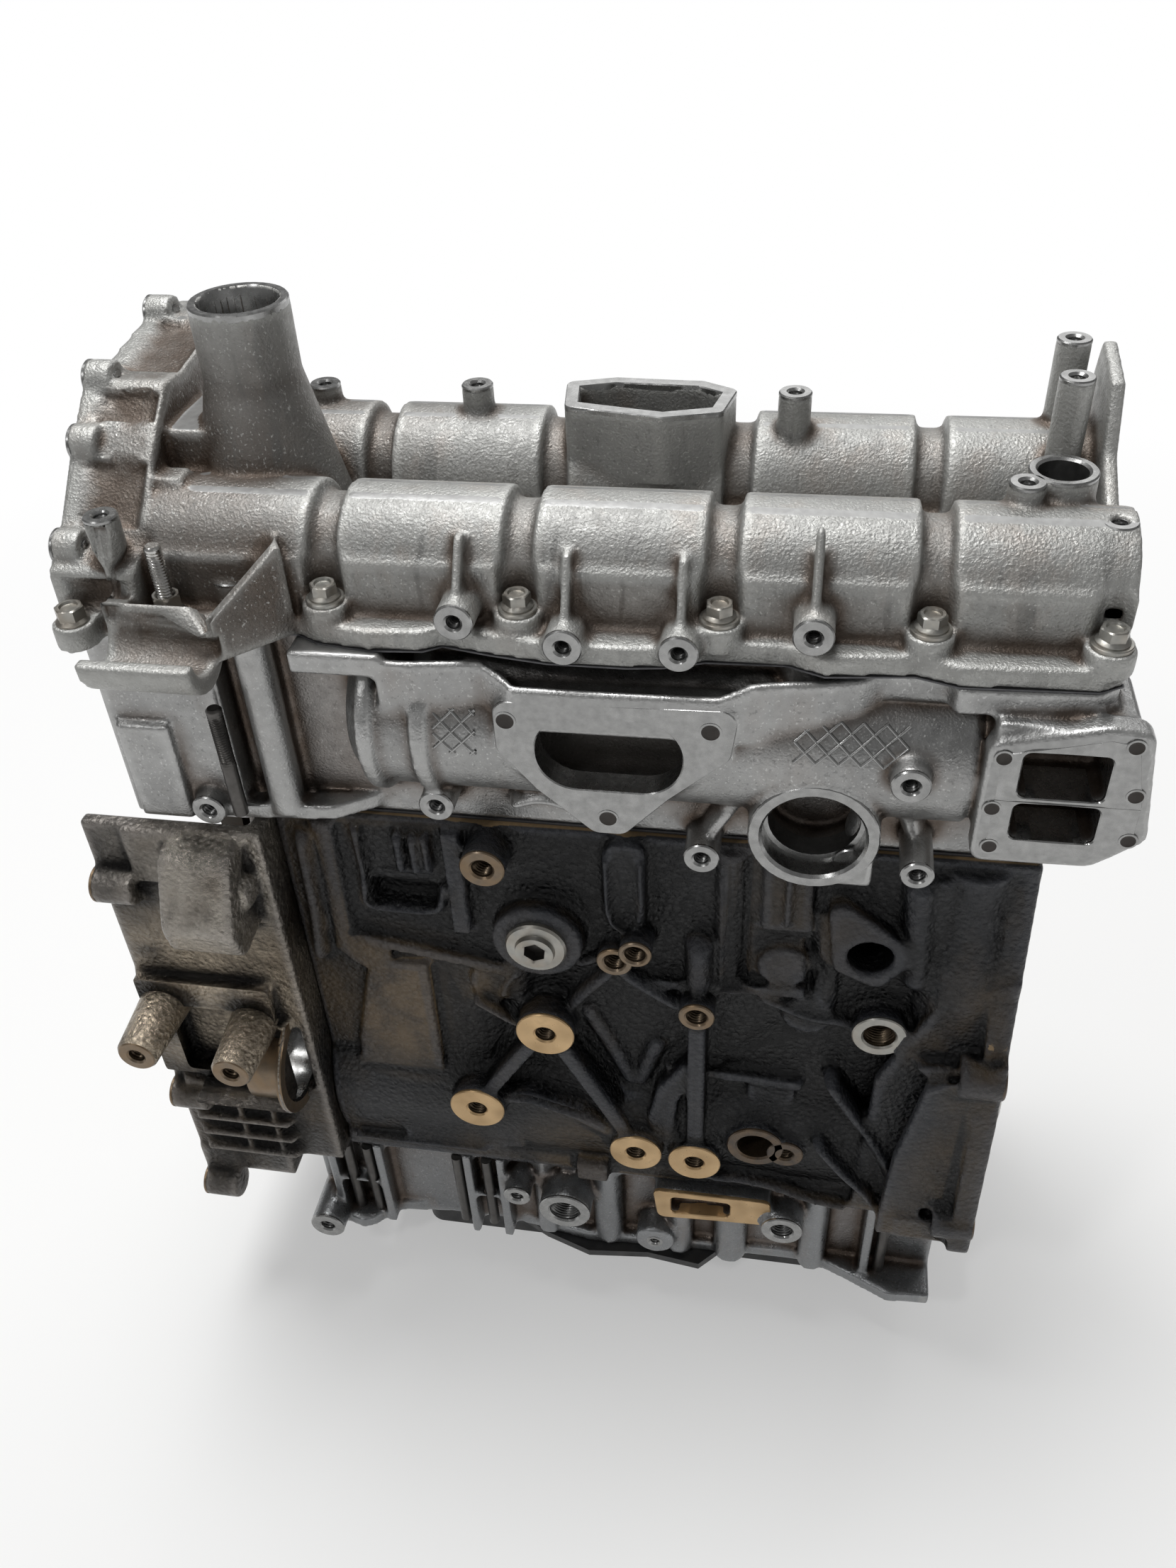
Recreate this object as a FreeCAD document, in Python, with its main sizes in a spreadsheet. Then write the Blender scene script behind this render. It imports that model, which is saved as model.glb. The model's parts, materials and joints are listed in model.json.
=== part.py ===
import FreeCAD, Part
import math
import operator
import os
import Sketcher

# A four-cylinder twin-cam diesel long block, in millimetres.
# X runs along the crankshaft: -X is the timing end, +X is the flywheel end.
# -Y is the intake side, +Z is up, and the origin lies under the sump,
# below the middle of the four cylinders.

Vector = FreeCAD.Vector
doc = FreeCAD.newDocument("diesel_engine")
sheet = doc.addObject("Spreadsheet::Sheet", "Sizes")
pieces = []


# Sizes kept in the spreadsheet
class Size:
    """A length or angle that knows its number and its spreadsheet expression."""

    signs = {"+": operator.add, "-": operator.sub, "*": operator.mul, "/": operator.truediv}

    def __init__(self, number, text):
        self.number = number
        self.text = text

    def joined(self, other, sign, swapped=False):
        first, second = (as_size(other), self) if swapped else (self, as_size(other))
        number = Size.signs[sign](first.number, second.number)
        return Size(number, f"({first.text} {sign} {second.text})")

    def __add__(self, other):
        return self.joined(other, "+")

    def __radd__(self, other):
        return self.joined(other, "+", True)

    def __sub__(self, other):
        return self.joined(other, "-")

    def __rsub__(self, other):
        return self.joined(other, "-", True)

    def __mul__(self, other):
        return self.joined(other, "*")

    def __rmul__(self, other):
        return self.joined(other, "*", True)

    def __truediv__(self, other):
        return self.joined(other, "/")

    def __neg__(self):
        return self.joined(0, "-", True)


def as_size(value):
    """Give a plain number the same face as a size from the sheet."""
    if isinstance(value, Size):
        return value
    return Size(float(value), repr(float(value)))


def size(alias, number):
    """Write one size to the next row of the sheet and give it back."""
    size.row += 1
    sheet.set(f"A{size.row}", alias)
    sheet.set(f"B{size.row}", str(number))
    sheet.setAlias(f"B{size.row}", alias)
    return Size(float(number), f"Sizes.{alias}")


size.row = 0

cylinder_pitch = size("cylinder_pitch", 90)
bore = size("bore", 83)
stroke = size("stroke", 84)
rod_length = size("rod_length", 150)
compression_height = size("compression_height", 42)
deck_clearance = size("deck_clearance", 0.5)
crank_lead = size("crank_lead", 30)
crank_skirt = size("crank_skirt", 48)
frame_height = size("frame_height", 90)
sump_depth = size("sump_depth", 45)
gasket = size("gasket", 1.5)
head_height = size("head_height", 114)
cam_rise = size("cam_rise", 27)
cam_offset = size("cam_offset", 44.5)
wall = size("wall", 8)
running_gap = size("running_gap", 0.05)
seat_gap = size("seat_gap", 0.3)

block_left = size("block_left", -190)
block_right = size("block_right", 205)
block_half_width = size("block_half_width", 74)
bulge_radius = size("bulge_radius", 86)
chamber_radius = size("chamber_radius", 80)
bell_thickness = size("bell_thickness", 13)
bell_half_width = size("bell_half_width", 112)
web_thickness = size("bulkhead_thickness", 22)
cap_half_width = size("cap_half_width", 45)
boss_face = size("block_boss_face", -94)
boss_hole = size("block_boss_hole", 6)

main_radius = size("main_journal_radius", 28)
pin_radius = size("crank_pin_radius", 24)
shell_wall = size("bearing_shell_wall", 2.5)
rod_width = size("rod_width", 25)
crank_web = size("crank_web", 14)
counterweight_radius = size("counterweight_radius", 64)
piston_gap = size("piston_gap", 0.5)
wrist_radius = size("wrist_pin_radius", 13)

head_left = size("head_left", -260)
head_right = size("head_right", 216)
head_half_width = size("head_half_width", 80)
chamber_floor = size("valve_chamber_floor", 81)
intake_face = size("intake_face", -100)
recycle_face = size("recycle_flange_face", -105)
valve_angle = size("valve_angle", 9.5)
valve_spread = size("valve_spread", 19.5)
valve_radius = size("valve_radius", 11.5)
tappet_radius = size("tappet_radius", 10)
stem_radius = size("valve_stem_radius", 3)
valve_lift = size("valve_lift", 7)

tunnel_radius = size("cam_tunnel_radius", 32)
tunnel_wall = size("cam_tunnel_wall", 5)
journal_radius = size("cam_journal_radius", 13)
base_circle = size("cam_base_circle", 15)
tower_left = size("tower_left", -262)
tower_depth = size("tower_depth", 42)
cradle_y = size("cradle_offset", -116)
neck_radius = size("filler_neck_radius", 23)
neck_bore = size("filler_neck_bore", 18.5)
neck_x = size("filler_neck_from_middle", -180)
neck_y = size("filler_neck_offset", -8)
neck_height = size("filler_neck_height", 130)

case_left = size("timing_case_left", -290)
case_rear = size("chain_case_rear", 96)
chain_x = size("chain_plane", -247)
link_x = size("link_chain_plane", -236)
link_radius = size("link_sprocket_radius", 18)
shaft_radius = size("camshaft_radius", 10)
nose_radius = size("crank_nose_radius", 11)
chain_width = size("chain_width", 9)
cam_sprocket_radius = size("cam_sprocket_radius", 36)

bed_z = sump_depth
block_z = bed_z + frame_height
crank_z = block_z + crank_skirt
deck_z = crank_z + stroke / 2 + rod_length + compression_height + deck_clearance
head_z = deck_z + gasket
head_top = head_z + head_height
cam_z = head_top + cam_rise
cylinders = [cylinder_pitch * step for step in (-1.5, -0.5, 0.5, 1.5)]
bearings = [cylinder_pitch * step for step in (-2, -1, 0, 1, 2)]
throw = stroke / 2


# Shapes bound to the sizes
TURNS = {
    "Z": FreeCAD.Rotation(Vector(0, 0, 1), 0),
    "X": FreeCAD.Rotation(Vector(0, 1, 0), 90),
    "Y": FreeCAD.Rotation(Vector(1, 0, 0), -90),
    "-Y": FreeCAD.Rotation(Vector(1, 0, 0), 90),
    "-X": FreeCAD.Rotation(Vector(0, 1, 0), -90),
}
PLANES = {
    "XY": (FreeCAD.Rotation(), Vector(0, 0, 1)),
    "XZ": (FreeCAD.Rotation(Vector(1, 0, 0), 90), Vector(0, 1, 0)),
    "YZ": (FreeCAD.Rotation(Vector(1, 1, 1), 120), Vector(1, 0, 0)),
}


def bind(thing, **values):
    """Tie properties of an object to expressions of the sheet."""
    for name, value in values.items():
        thing.setExpression(name, as_size(value).text)
    return thing


def put(thing, x=0, y=0, z=0):
    """Bind the place of an object."""
    for axis, value in (("x", x), ("y", y), ("z", z)):
        thing.setExpression(f"Placement.Base.{axis}", as_size(value).text)
    return thing


def box(x0, x1, y0, y1, z0, z1):
    """A block between two corners."""
    block = doc.addObject("Part::Box", "Block")
    bind(block, Length=x1 - as_size(x0), Width=y1 - as_size(y0), Height=z1 - as_size(z0))
    return put(block, x0, y0, z0)


def rod(axis, start, length, radius, turn=None):
    """A round bar that starts at a point and runs along an axis."""
    bar = doc.addObject("Part::Cylinder", "Bar")
    bar.Placement.Rotation = turn or TURNS[axis]
    bind(bar, Radius=radius, Height=length)
    return put(bar, *start)


def taper(axis, start, length, first, last, turn=None):
    """A cone frustum that starts at a point and runs along an axis."""
    cone = doc.addObject("Part::Cone", "Taper")
    cone.Placement.Rotation = turn or TURNS[axis]
    bind(cone, Radius1=first, Radius2=last, Height=length)
    return put(cone, *start)


def hexagon(axis, start, length, radius, sides=6, turn=None):
    """A prism with equal sides, such as a bolt head."""
    nut = doc.addObject("Part::Prism", "Hexagon")
    nut.Polygon = sides
    nut.Placement.Rotation = turn or TURNS[axis]
    bind(nut, Circumradius=radius, Height=length)
    return put(nut, *start)


def outline(plane, level, points):
    """A closed sketch of straight lines, every corner tied to the sheet."""
    sketch = doc.addObject("Sketcher::SketchObject", "Outline")
    turn, normal = PLANES[plane]
    sketch.Placement.Rotation = turn
    put(sketch, *(as_size(level) * part for part in (normal.x, normal.y, normal.z)))
    corners = [(as_size(across), as_size(up)) for across, up in points]
    if turning(corners) < 0:
        corners.reverse()
    flat = [Vector(across.number, up.number, 0) for across, up in corners]
    total = len(flat)
    for step, corner in enumerate(flat):
        sketch.addGeometry(Part.LineSegment(corner, flat[(step + 1) % total]))
    for step in range(total):
        sketch.addConstraint(Sketcher.Constraint("Coincident", step, 2, (step + 1) % total, 1))
    for step, (across, up) in enumerate(corners):
        for kind, place in (("DistanceX", across), ("DistanceY", up)):
            tie = sketch.addConstraint(Sketcher.Constraint(kind, -1, 1, step, 1, place.number))
            if "Sizes" in place.text:
                sketch.setExpression(f"Constraints[{tie}]", place.text)
    return sketch


def turning(corners):
    """Twice the signed area of an outline: below zero when it runs clockwise."""
    pairs = zip(corners, corners[1:] + corners[:1])
    return sum(a[0].number * b[1].number - b[0].number * a[1].number for a, b in pairs)


def prism(plane, level, length, points, corner=None):
    """An outline pushed out along its normal, with round corners if a radius is given."""
    face = outline(plane, level, points)
    if corner is not None:
        rounded = doc.addObject("Part::Offset2D", "RoundOutline")
        rounded.Source = face
        rounded.Join = "Arc"
        bind(rounded, Value=corner)
        face = rounded
    solid = doc.addObject("Part::Extrusion", "Prism")
    solid.Base = face
    solid.DirMode = "Custom"
    solid.Dir = PLANES[plane][1]
    solid.Solid = True
    return bind(solid, LengthFwd=length)


def fuse(*shapes):
    """Join shapes into one solid."""
    joined = doc.addObject("Part::MultiFuse", "Joined")
    joined.Shapes = list(shapes)
    joined.Refine = True
    return joined


def cut(base, *tools):
    """Take tools out of a base."""
    left = doc.addObject("Part::Cut", "Cut")
    left.Base = base
    left.Tool = tools[0] if len(tools) == 1 else group(*tools)
    left.Refine = True
    return left


def common(first, second):
    """Keep what two shapes share."""
    shared = doc.addObject("Part::MultiCommon", "Shared")
    shared.Shapes = [first, second]
    shared.Refine = True
    return shared


def group(*shapes):
    """Separate solids kept as one object."""
    together = doc.addObject("Part::Compound", "Group")
    together.Links = list(shapes)
    return together


def piece(name, shape):
    """Name a finished sub-part."""
    shape.Label = name
    pieces.append(shape)
    return shape


def tube(axis, start, length, outer, inner):
    """A round bar with a hole along it."""
    return cut(rod(axis, start, length, outer), rod(axis, start, length, inner))


def front_boss(x, z, face, root, radius, hole=None, depth=22):
    """A boss that stands out of a front wall, and the blind hole in its face."""
    solid = rod("Y", (x, face, z), root - as_size(face), radius)
    holes = [] if hole is None else [rod("Y", (x, face - as_size(1), z), depth, hole)]
    return [solid], holes


# Cylinder block
def cylinder_block():
    front = -block_half_width
    solids = [
        box(block_left, block_right, front, block_half_width, block_z, deck_z),
        common(
            rod("X", (block_left, 0, crank_z), block_right - block_left, bulge_radius),
            box(block_left, block_right, -bulge_radius, bulge_radius, block_z, crank_z + bulge_radius),
        ),
        bell_flange(),
    ]
    holes = []
    holes.append(rod("X", (block_left - 1, 0, crank_z), 420, main_radius + shell_wall))
    holes.append(box(block_left - 1, block_right + 1, -cap_half_width, cap_half_width, block_z - 1, crank_z))
    bay = cylinder_pitch - web_thickness
    liner_end = crank_z + 75
    for x in cylinders:
        holes.append(rod("X", (x - bay / 2, 0, crank_z), bay, chamber_radius))
        holes.append(box(x - bay / 2, x + bay / 2, -54, 54, crank_z, liner_end + 4))
        holes.append(rod("Z", (x, 0, liner_end), deck_z - liner_end + 1, bore / 2))
    for part, hole in block_front():
        solids += part
        holes += hole
    for part, hole in block_rear():
        solids += part
        holes += hole
    return piece("cylinder_block", cut(fuse(*solids), *holes))


def bell_flange():
    """The arched flywheel-end flange with its ribbed shoulders."""
    low = block_z + 8
    reach = bell_half_width - 8
    shoulder = [(-reach, low), (reach, low), (reach - 8, crank_z + 70), (66, deck_z - 8)]
    shoulder += [(-66, deck_z - 8), (8 - reach, crank_z + 70)]
    plate = prism("YZ", block_right - bell_thickness, bell_thickness, shoulder, 8)
    ribs = [plate]
    for low_x, top_z in ((150, 165), (135, 215)):
        side = [(low_x, block_z), (block_right, block_z), (block_right, block_z + top_z)]
        side += [(165, block_z + top_z - 25), (low_x + 4, block_z + top_z - 90)]
        depth = 102 if low_x == 150 else 88
        ribs.append(prism("XZ", -depth, 8, side))
        ribs.append(prism("XZ", depth - 8, 8, side))
    bolts = [(-100, 114), (-94, 238), (-58, 350), (58, 350), (94, 238), (100, 114)]
    holes = [rod("X", (block_right - 30, y, bed_z + z), 40, 6.5) for y, z in bolts]
    bosses = [rod("X", (block_right - 24, y, bed_z + z), 24, 13) for y, z in bolts]
    return cut(fuse(*ribs, *bosses), *holes)


def block_front():
    """Bosses, ribs, pads and openings of the intake side."""
    front = -block_half_width + 4
    bosses = [(-47, -138, 17), (-94, -214, 17), (3, -241, 16), (39, -244, 16), (39, -111, 10), (6, -66, 9)]
    for x, drop, radius in bosses:
        yield front_boss(x, deck_z + drop, boss_face, front, radius, boss_hole)
    yield front_boss(-7, deck_z - 84, -84, front, 10, boss_hole)
    yield front_boss(-72, deck_z - 13, boss_face, front, 12, boss_hole)
    yield front_boss(-49, deck_z - 73, -86, front, 25, None)
    yield front_boss(138, deck_z - 121, -86, front, 15, 9, 30)
    yield front_boss(75, deck_z - 227, -90, front, 17, 11, 30)
    yield front_boss(93, deck_z - 231, -90, front, 11, 5, 30)
    for x, drop in ((99, -118), (84, -82), (82, -189), (-78, -116), (-151, -99)):
        yield front_boss(x, deck_z + drop, -79, front, 14)
    ribs = [(-47, -138, -94, -214), (-47, -138, 3, -241), (39, -111, 39, -244)]
    for x0, drop0, x1, drop1 in ribs:
        side = [(x0 - 5, deck_z + drop0), (x0 + 5, deck_z + drop0), (x1 + 5, deck_z + drop1), (x1 - 5, deck_z + drop1)]
        yield [prism("XZ", boss_face + 3, 24, side)], []
    water = [(112, deck_z - 36), (144, deck_z - 61), (132, deck_z - 78), (116, deck_z - 70)]
    yield [prism("XZ", -84, 16, water, 7)], [rod("Y", (128, -86, deck_z - 64), 30, 12)]
    yield [box(-148, -90, -84, front, deck_z - 266, deck_z - 228)], []
    yield [box(-97, -87, -80, front, deck_z - 76, deck_z - 4)], []
    yield [prism("XZ", -80, 12, [(-4, deck_z - 58), (4, deck_z - 58), (4, deck_z - 8), (-4, deck_z - 8)], 6)], []
    for height in (-8, -20, -32):
        yield [box(-140, -106, -78, front, deck_z + height - 4, deck_z + height)], []
    fin = [(34, deck_z - 158), (42, deck_z - 160), (28, deck_z - 196), (26, deck_z - 222), (34, deck_z - 240)]
    fin += [(16, deck_z - 236), (10, deck_z - 214), (16, deck_z - 186)]
    yield [prism("XZ", -88, 18, fin)], []
    arch = [(-92, deck_z - 208), (-62, deck_z - 206), (-30, deck_z - 216), (0, deck_z - 238), (-6, deck_z - 242)]
    arch += [(-34, deck_z - 223), (-62, deck_z - 213), (-92, deck_z - 215)]
    yield [prism("XZ", -88, 18, arch)], []
    yield [box(35, 43, -88, front, deck_z - 156, deck_z - 110)], []
    yield [box(-36, -16, -90, front, block_z, block_z + 16)], []
    yield [prism("XZ", -89, 18, [(70, deck_z - 222), (92, deck_z - 228), (92, deck_z - 234), (72, deck_z - 232)], 8)], []
    for x, low, high in ((-163, -102, -4), (-64, -150, -96), (54, -106, -4), (106, -112, -40), (160, -120, -10)):
        yield [rod("Z", (x, -71.5, deck_z + low), high - low, 8)], []
    for x0, drop0, x1, drop1 in ((-150, -86, -70, -100), (10, -100, 96, -96), (20, -170, 100, -176)):
        side = [(x0, deck_z + drop0), (x0, deck_z + drop0 - 7), (x1, deck_z + drop1 - 7), (x1, deck_z + drop1)]
        yield [prism("XZ", -80, 12, side)], []
    panel = [(-151, deck_z - 106), (-117, deck_z - 106), (-117, deck_z - 238), (-172, deck_z - 238), (-168, deck_z - 180)]
    yield [prism("XZ", -79, 10, panel)], []
    rail = box(block_left, block_right, -82, 82, block_z, block_z + 14)
    yield [rail], []


def block_rear():
    """Core plug rims, mounting bosses and the starter shelf of the exhaust side."""
    rear = block_half_width
    for x in cylinders:
        yield [rod("Y", (x, rear - 2, deck_z - 70), 6, 21)], [rod("Y", (x, rear - 1, deck_z - 70), 8, 16)]
    for x in (-120, 60):
        for drop in (-150, -215):
            yield [rod("Y", (x, rear - 4, deck_z + drop), 24, 13)], [rod("Y", (x, rear + 4, deck_z + drop), 20, boss_hole)]
    yield [box(-124, -116, rear - 2, rear + 14, deck_z - 215, deck_z - 150)], []
    yield [box(56, 64, rear - 2, rear + 14, deck_z - 215, deck_z - 150)], []
    for x in bearings[1:4]:
        yield [box(x - 4, x + 4, rear - 2, rear + 8, block_z, deck_z - 20)], []


def block_plugs():
    """Pressed cups that close the casting holes of the water jacket."""
    cups = []
    for x in cylinders:
        cup = rod("Y", (x, block_half_width + 0.5, deck_z - 70), 3, 16)
        cups.append(cut(cup, rod("Y", (x, block_half_width + 2, deck_z - 70), 3, 13)))
    return piece("core_plugs", group(*cups))


def oil_gallery_plug():
    spot = (-49, -86, deck_z - 73)
    washer = rod("-Y", spot, 3, 17)
    head = rod("-Y", (spot[0], spot[1] - 3, spot[2]), 4, 15)
    socket = hexagon("-Y", (spot[0], spot[1] - 3, spot[2]), 6, 7)
    return piece("oil_gallery_plug", cut(fuse(washer, head), socket))


def main_caps():
    """The five caps that hold the crankshaft up, and their screw heads."""
    caps = []
    heads = []
    for x in bearings:
        half = web_thickness / 2 - 1
        solid = box(x - half, x + half, -cap_half_width, cap_half_width, block_z + 6, crank_z)
        line = rod("X", (x - half - 1, 0, crank_z), web_thickness, main_radius + shell_wall)
        caps.append(cut(solid, line))
        for side in (-1, 1):
            heads.append(hexagon("Z", (x, (cap_half_width - 8) * side, block_z - 2), 8, 7.5))
    piece("main_bearing_caps", group(*caps))
    piece("main_cap_screws", group(*heads))


def main_shells():
    width = web_thickness - 3
    rings = []
    for x in bearings:
        inner = main_radius + running_gap
        rings.append(tube("X", (x - width / 2, 0, crank_z), width, main_radius + shell_wall, inner))
    return piece("main_bearing_shells", group(*rings))


def plugs_and_seals():
    """The plate and lip seal that close the crankcase at the flywheel end."""
    plate = prism("YZ", block_right, 8, [(-54, block_z + 6), (54, block_z + 6), (54, crank_z + 44), (-54, crank_z + 44)], 6)
    plate = cut(plate, rod("X", (block_right - 1, 0, crank_z), 10, 44))
    piece("rear_seal_carrier", plate)
    seal = tube("X", (block_right, 0, crank_z), 8, 44, 38 + running_gap)
    piece("rear_crank_seal", seal)


# Lower frame and sump
FRAME_EDGE = [(-192, -89), (-184, -86), (-171, -72), (-136, -68), (-96, -67), (-79, -70), (-33, -77)]
FRAME_EDGE += [(7, -75), (91, -72), (114, -72), (139, -82), (166, -94), (193, -92)]


def bed_frame():
    left = -225
    right = 193
    half = block_half_width - 6
    lower = prism("XY", bed_z, 10, [(left, -80)] + FRAME_EDGE + [(right, 88), (left, 88)])
    walls = box(left + 3, right, -half, half, bed_z + 2, block_z)
    upper = box(left + 35, right, -half - 8, half + 8, block_z - 10, block_z)
    solids = [lower, walls, upper]
    holes = [box(left + 10, right - 8, -half + wall, half - wall, bed_z - 1, block_z + 1)]
    for x in (-207, -173, -112, -89, 150):
        solids.append(box(x - 3, x + 3, -82, -half + 2, bed_z + 2, block_z - 2))
        solids.append(box(x - 3, x + 3, half - 2, 82, bed_z + 2, block_z - 2))
    for x0, x1 in ((-207, -173), (-112, -89)):
        solids.append(box(x0, x1, -80, -half + 2, bed_z + 42, bed_z + 46))
    for x in (-196, -182, -100):
        holes.append(rod("Z", (x, -76, bed_z + 41), 6, 4.2))
    for x, y, radius in ((-62, -70, 8), (-20, -70, 10), (28, -72, 9), (62, -72, 11), (116, -72, 9)):
        solids.append(rod("Z", (x, y, bed_z + 4), frame_height - 6, radius))
    swirl, hole = front_boss(13, bed_z + 27, -88, -half + 2, 13, 3, 12)
    solids += swirl
    holes += hole
    for x in bearings:
        solids.append(box(x - 9, x + 9, -half + 2, half - 2, bed_z + 4, block_z - 4))
        holes.append(rod("X", (x - 10, 0, crank_z), 20, counterweight_radius + 15))
    corner, hole = front_boss(-214, bed_z + 12, -98, -60, 12, 5)
    solids += corner
    holes += hole
    for x, z, face, radius, bore_radius in ((-45, 68, -95, 17, 10), (95, 76, -95, 13, 7), (-77, 74, -92, 9, 4)):
        part, hole = front_boss(x, bed_z + z - 8, face, -half + 2, radius, bore_radius, 20)
        solids += part
        holes += hole
    solids.append(prism("XZ", -90, 26, [(20, bed_z + 66), (84, bed_z + 70), (82, bed_z + 84), (18, bed_z + 84)], 5))
    holes.append(prism("XZ", -92, 14, [(28, bed_z + 70), (58, bed_z + 72), (58, bed_z + 80), (28, bed_z + 80)], 4))
    return piece("bed_frame", cut(fuse(*solids), *holes))


def frame_bolts():
    """Long screws that stand in the open pockets of the frame."""
    bolts = []
    for x in (-196, -182, -120, -100, 160):
        for y in (-76, 76):
            shank = rod("Z", (x, y, bed_z + 10), frame_height - 20, 3.6)
            bolts.append(shank)
    return piece("bed_frame_screws", group(*bolts))


def sump():
    flange = [(-190, -60), (-80, -66), (-64, -74), (-33, -84), (7, -80), (42, -84), (60, -66), (180, -60)]
    flange += [(180, 70), (-190, 70)]
    top = prism("XY", bed_z - 6, 6 - seat_gap / 3, flange)
    pan = prism("XY", 0, bed_z - 5, [(-150, -36), (150, -36), (150, 46), (-150, 46)], 12)
    inside = prism("XY", 3, bed_z, [(-149, -35), (149, -35), (149, 45), (-149, 45)], 9)
    piece("oil_sump", cut(fuse(top, pan), inside))
    spot = (0, 58, 16)
    plug = fuse(rod("Y", spot, 4, 13), hexagon("Y", (0, 62, 16), 8, 9))
    piece("drain_plug", plug)
    heads = []
    for x in (-170, -110, -50, 10, 70, 130, 168):
        heads.append(hexagon("Z", (x, 64, bed_z - 12), 6, 5.5))
    piece("sump_screws", group(*heads))


# Cylinder head
def valve_tilt(side):
    """The turn about X that leans a valve from its camshaft towards the bore."""
    return valve_angle * -side


def valve_reach():
    """Distance from the cam axis to the closed valve's face, along the valve."""
    return (cam_z - head_z - 3) / cosine(valve_angle)


def cosine(angle):
    return Size(math.cos(math.radians(angle.number)), f"cos({angle.text} * 1 deg)")


def lean(thing, x, side):
    """Hang a shape that was drawn around the cam axis on one camshaft, leaning inwards."""
    thing.Placement.Rotation = FreeCAD.Rotation(Vector(1, 0, 0), 0.5)
    thing.setExpression("Placement.Rotation.Angle", f"({valve_tilt(side).text}) * 1 deg")
    thing.Placement.Rotation.Axis = Vector(1, 0, 0)
    return put(thing, x, cam_offset * side, cam_z)


def cylinder_head():
    front = -70
    top = head_top
    solids = [
        box(-200, head_right, front, head_half_width, head_z, top),
        box(head_left, -196, -86, case_rear, head_z, top),
    ]
    holes = [box(head_left - 1, -208, -78, case_rear - wall, head_z - 1, top + 1)]
    plenum_z = head_z + 64
    solids.append(rod("X", (-124, -58, plenum_z), 284, 41))
    solids.append(taper("X", (160, -58, plenum_z), 10, 41, 30))
    solids.append(taper("X", (-132, -58, plenum_z), 8, 32, 41))
    holes.append(rod("X", (-118, -71, plenum_z - 1), 272, 21))
    for x in (-124, -97):
        solids.append(rod("X", (x, -58, plenum_z), 8, 45))
    flange = [(-48, top - 25), (48, top - 23), (46, top - 38), (20, top - 62), (0, top - 84), (-8, top - 84)]
    flange += [(-32, top - 62), (-48, top - 42)]
    solids.append(prism("XZ", intake_face, 16, flange, 8))
    oval = [(-18, top - 46), (12, top - 46), (12, top - 44), (-18, top - 44)]
    holes.append(prism("XZ", intake_face - 1, 44, oval, 19.5))
    for x, drop in ((-50, -28), (46, -27), (-4, -85)):
        holes.append(rod("Y", (x, intake_face - 1, top + drop), 22, 3.4))
    solids.append(rod("Y", (93, intake_face, head_z + 29), 46, 31))
    solids.append(box(96, 122, intake_face, -88, head_z, head_z + 32))
    holes.append(rod("Y", (93, intake_face - 1, head_z + 29), 40, 24.5))
    recycle = [(169, top - 81), (214, top - 80), (231, top - 66), (224, top - 16), (212, top - 14), (169, top - 25)]
    solids.append(prism("XZ", recycle_face, 12, recycle, 6))
    solids.append(box(166, 226, recycle_face + 4, -56, top - 84, top - 12))
    for low, high in ((-44, -27), (-68, -55)):
        port = [(182, top + low), (211, top + low), (211, top + high), (182, top + high)]
        holes.append(prism("XZ", recycle_face - 1, 30, port, 4))
    for x, drop in ((170, -27), (169, -55), (171, -77), (222, -17), (227, -43), (229, -68)):
        holes.append(rod("Y", (x, recycle_face - 1, top + drop), 14, 2.6))
    solids.append(box(-152, -108, -96, front, top - 12, top))
    solids.append(prism("XY", top - 14, 14, [(72, front), (80, -80), (146, -84), (150, -92), (206, -90), (214, -82), (214, front)], 2))
    solids.append(box(-254, -226, -91, -84, head_z + 2, head_z + 61))
    solids.append(rod("Z", (-175, -82, head_z + 8), head_height - 8, 9))
    solids.append(box(-182, -168, -84, front, head_z + 8, top))
    foot = [(-210, -78), (-206, -90), (-150, -86), (-128, -72)]
    solids.append(prism("XY", head_z + 4, 9, foot))
    bosses = [(-213, 13, -96, 9, 4), (-92, 24, -92, 9, 4), (40, 3, -92, 9, 4), (133, 70, -108, 9, 4)]
    bosses += [(142, 14, -104, 8, 4), (112, 6, -90, 9, 4)]
    for x, rise, face, radius, hole_radius in bosses:
        part, hole = front_boss(x, head_z + rise, face, -60, radius, hole_radius, 16)
        solids += part
        holes += hole
    chamber = [box(-186, 204, -54, 60, head_z + chamber_floor, top + 1), box(-191, 208, -76, 90, head_z - 20, head_z)]
    for x in cylinders:
        chamber.append(rod("Z", (x, 0, head_z - 1), 5, bore / 2 - 0.5))
        for side in (-1, 1):
            for near in (-1, 1):
                chamber += valve_bore(x + valve_spread * near, side)
            rear = rod("Y", (x, 50, head_z + 48), 40, 15)
            if side == 1:
                chamber.append(rear)
                solids.append(prism("XZ", head_half_width - 2, 8, [(x - 22, head_z + 40), (x + 22, head_z + 40), (x + 22, head_z + 56), (x - 22, head_z + 56)], 10))
    return piece("cylinder_head", cut(fuse(*solids), *holes, *chamber))


def valve_bore(x, side):
    """The guide hole and the seat cone of one valve, cut through the head."""
    reach = valve_reach()
    stem = rod("Z", (0, 0, -reach), 90, stem_radius + running_gap)
    slope = (valve_radius - stem_radius) / 7
    seat = taper("Z", (0, 0, -reach - 2), 9.3, valve_radius + 0.4 + slope * 2, stem_radius + 0.1)
    return [lean(fuse(stem, seat), x, side)]


def valve(x, side):
    """One poppet valve with its tappet, drawn around the cam axis and hung below it."""
    reach = valve_reach()
    tappet_top = base_circle + valve_lift
    tappet = rod("Z", (0, 0, -tappet_top - 18), 18, tappet_radius)
    stem = rod("Z", (0, 0, 6 - reach), reach - tappet_top - 22, stem_radius)
    head = taper("Z", (0, 0, -reach), 7, valve_radius, stem_radius)
    return lean(fuse(tappet, stem, head), x, side)


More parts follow.
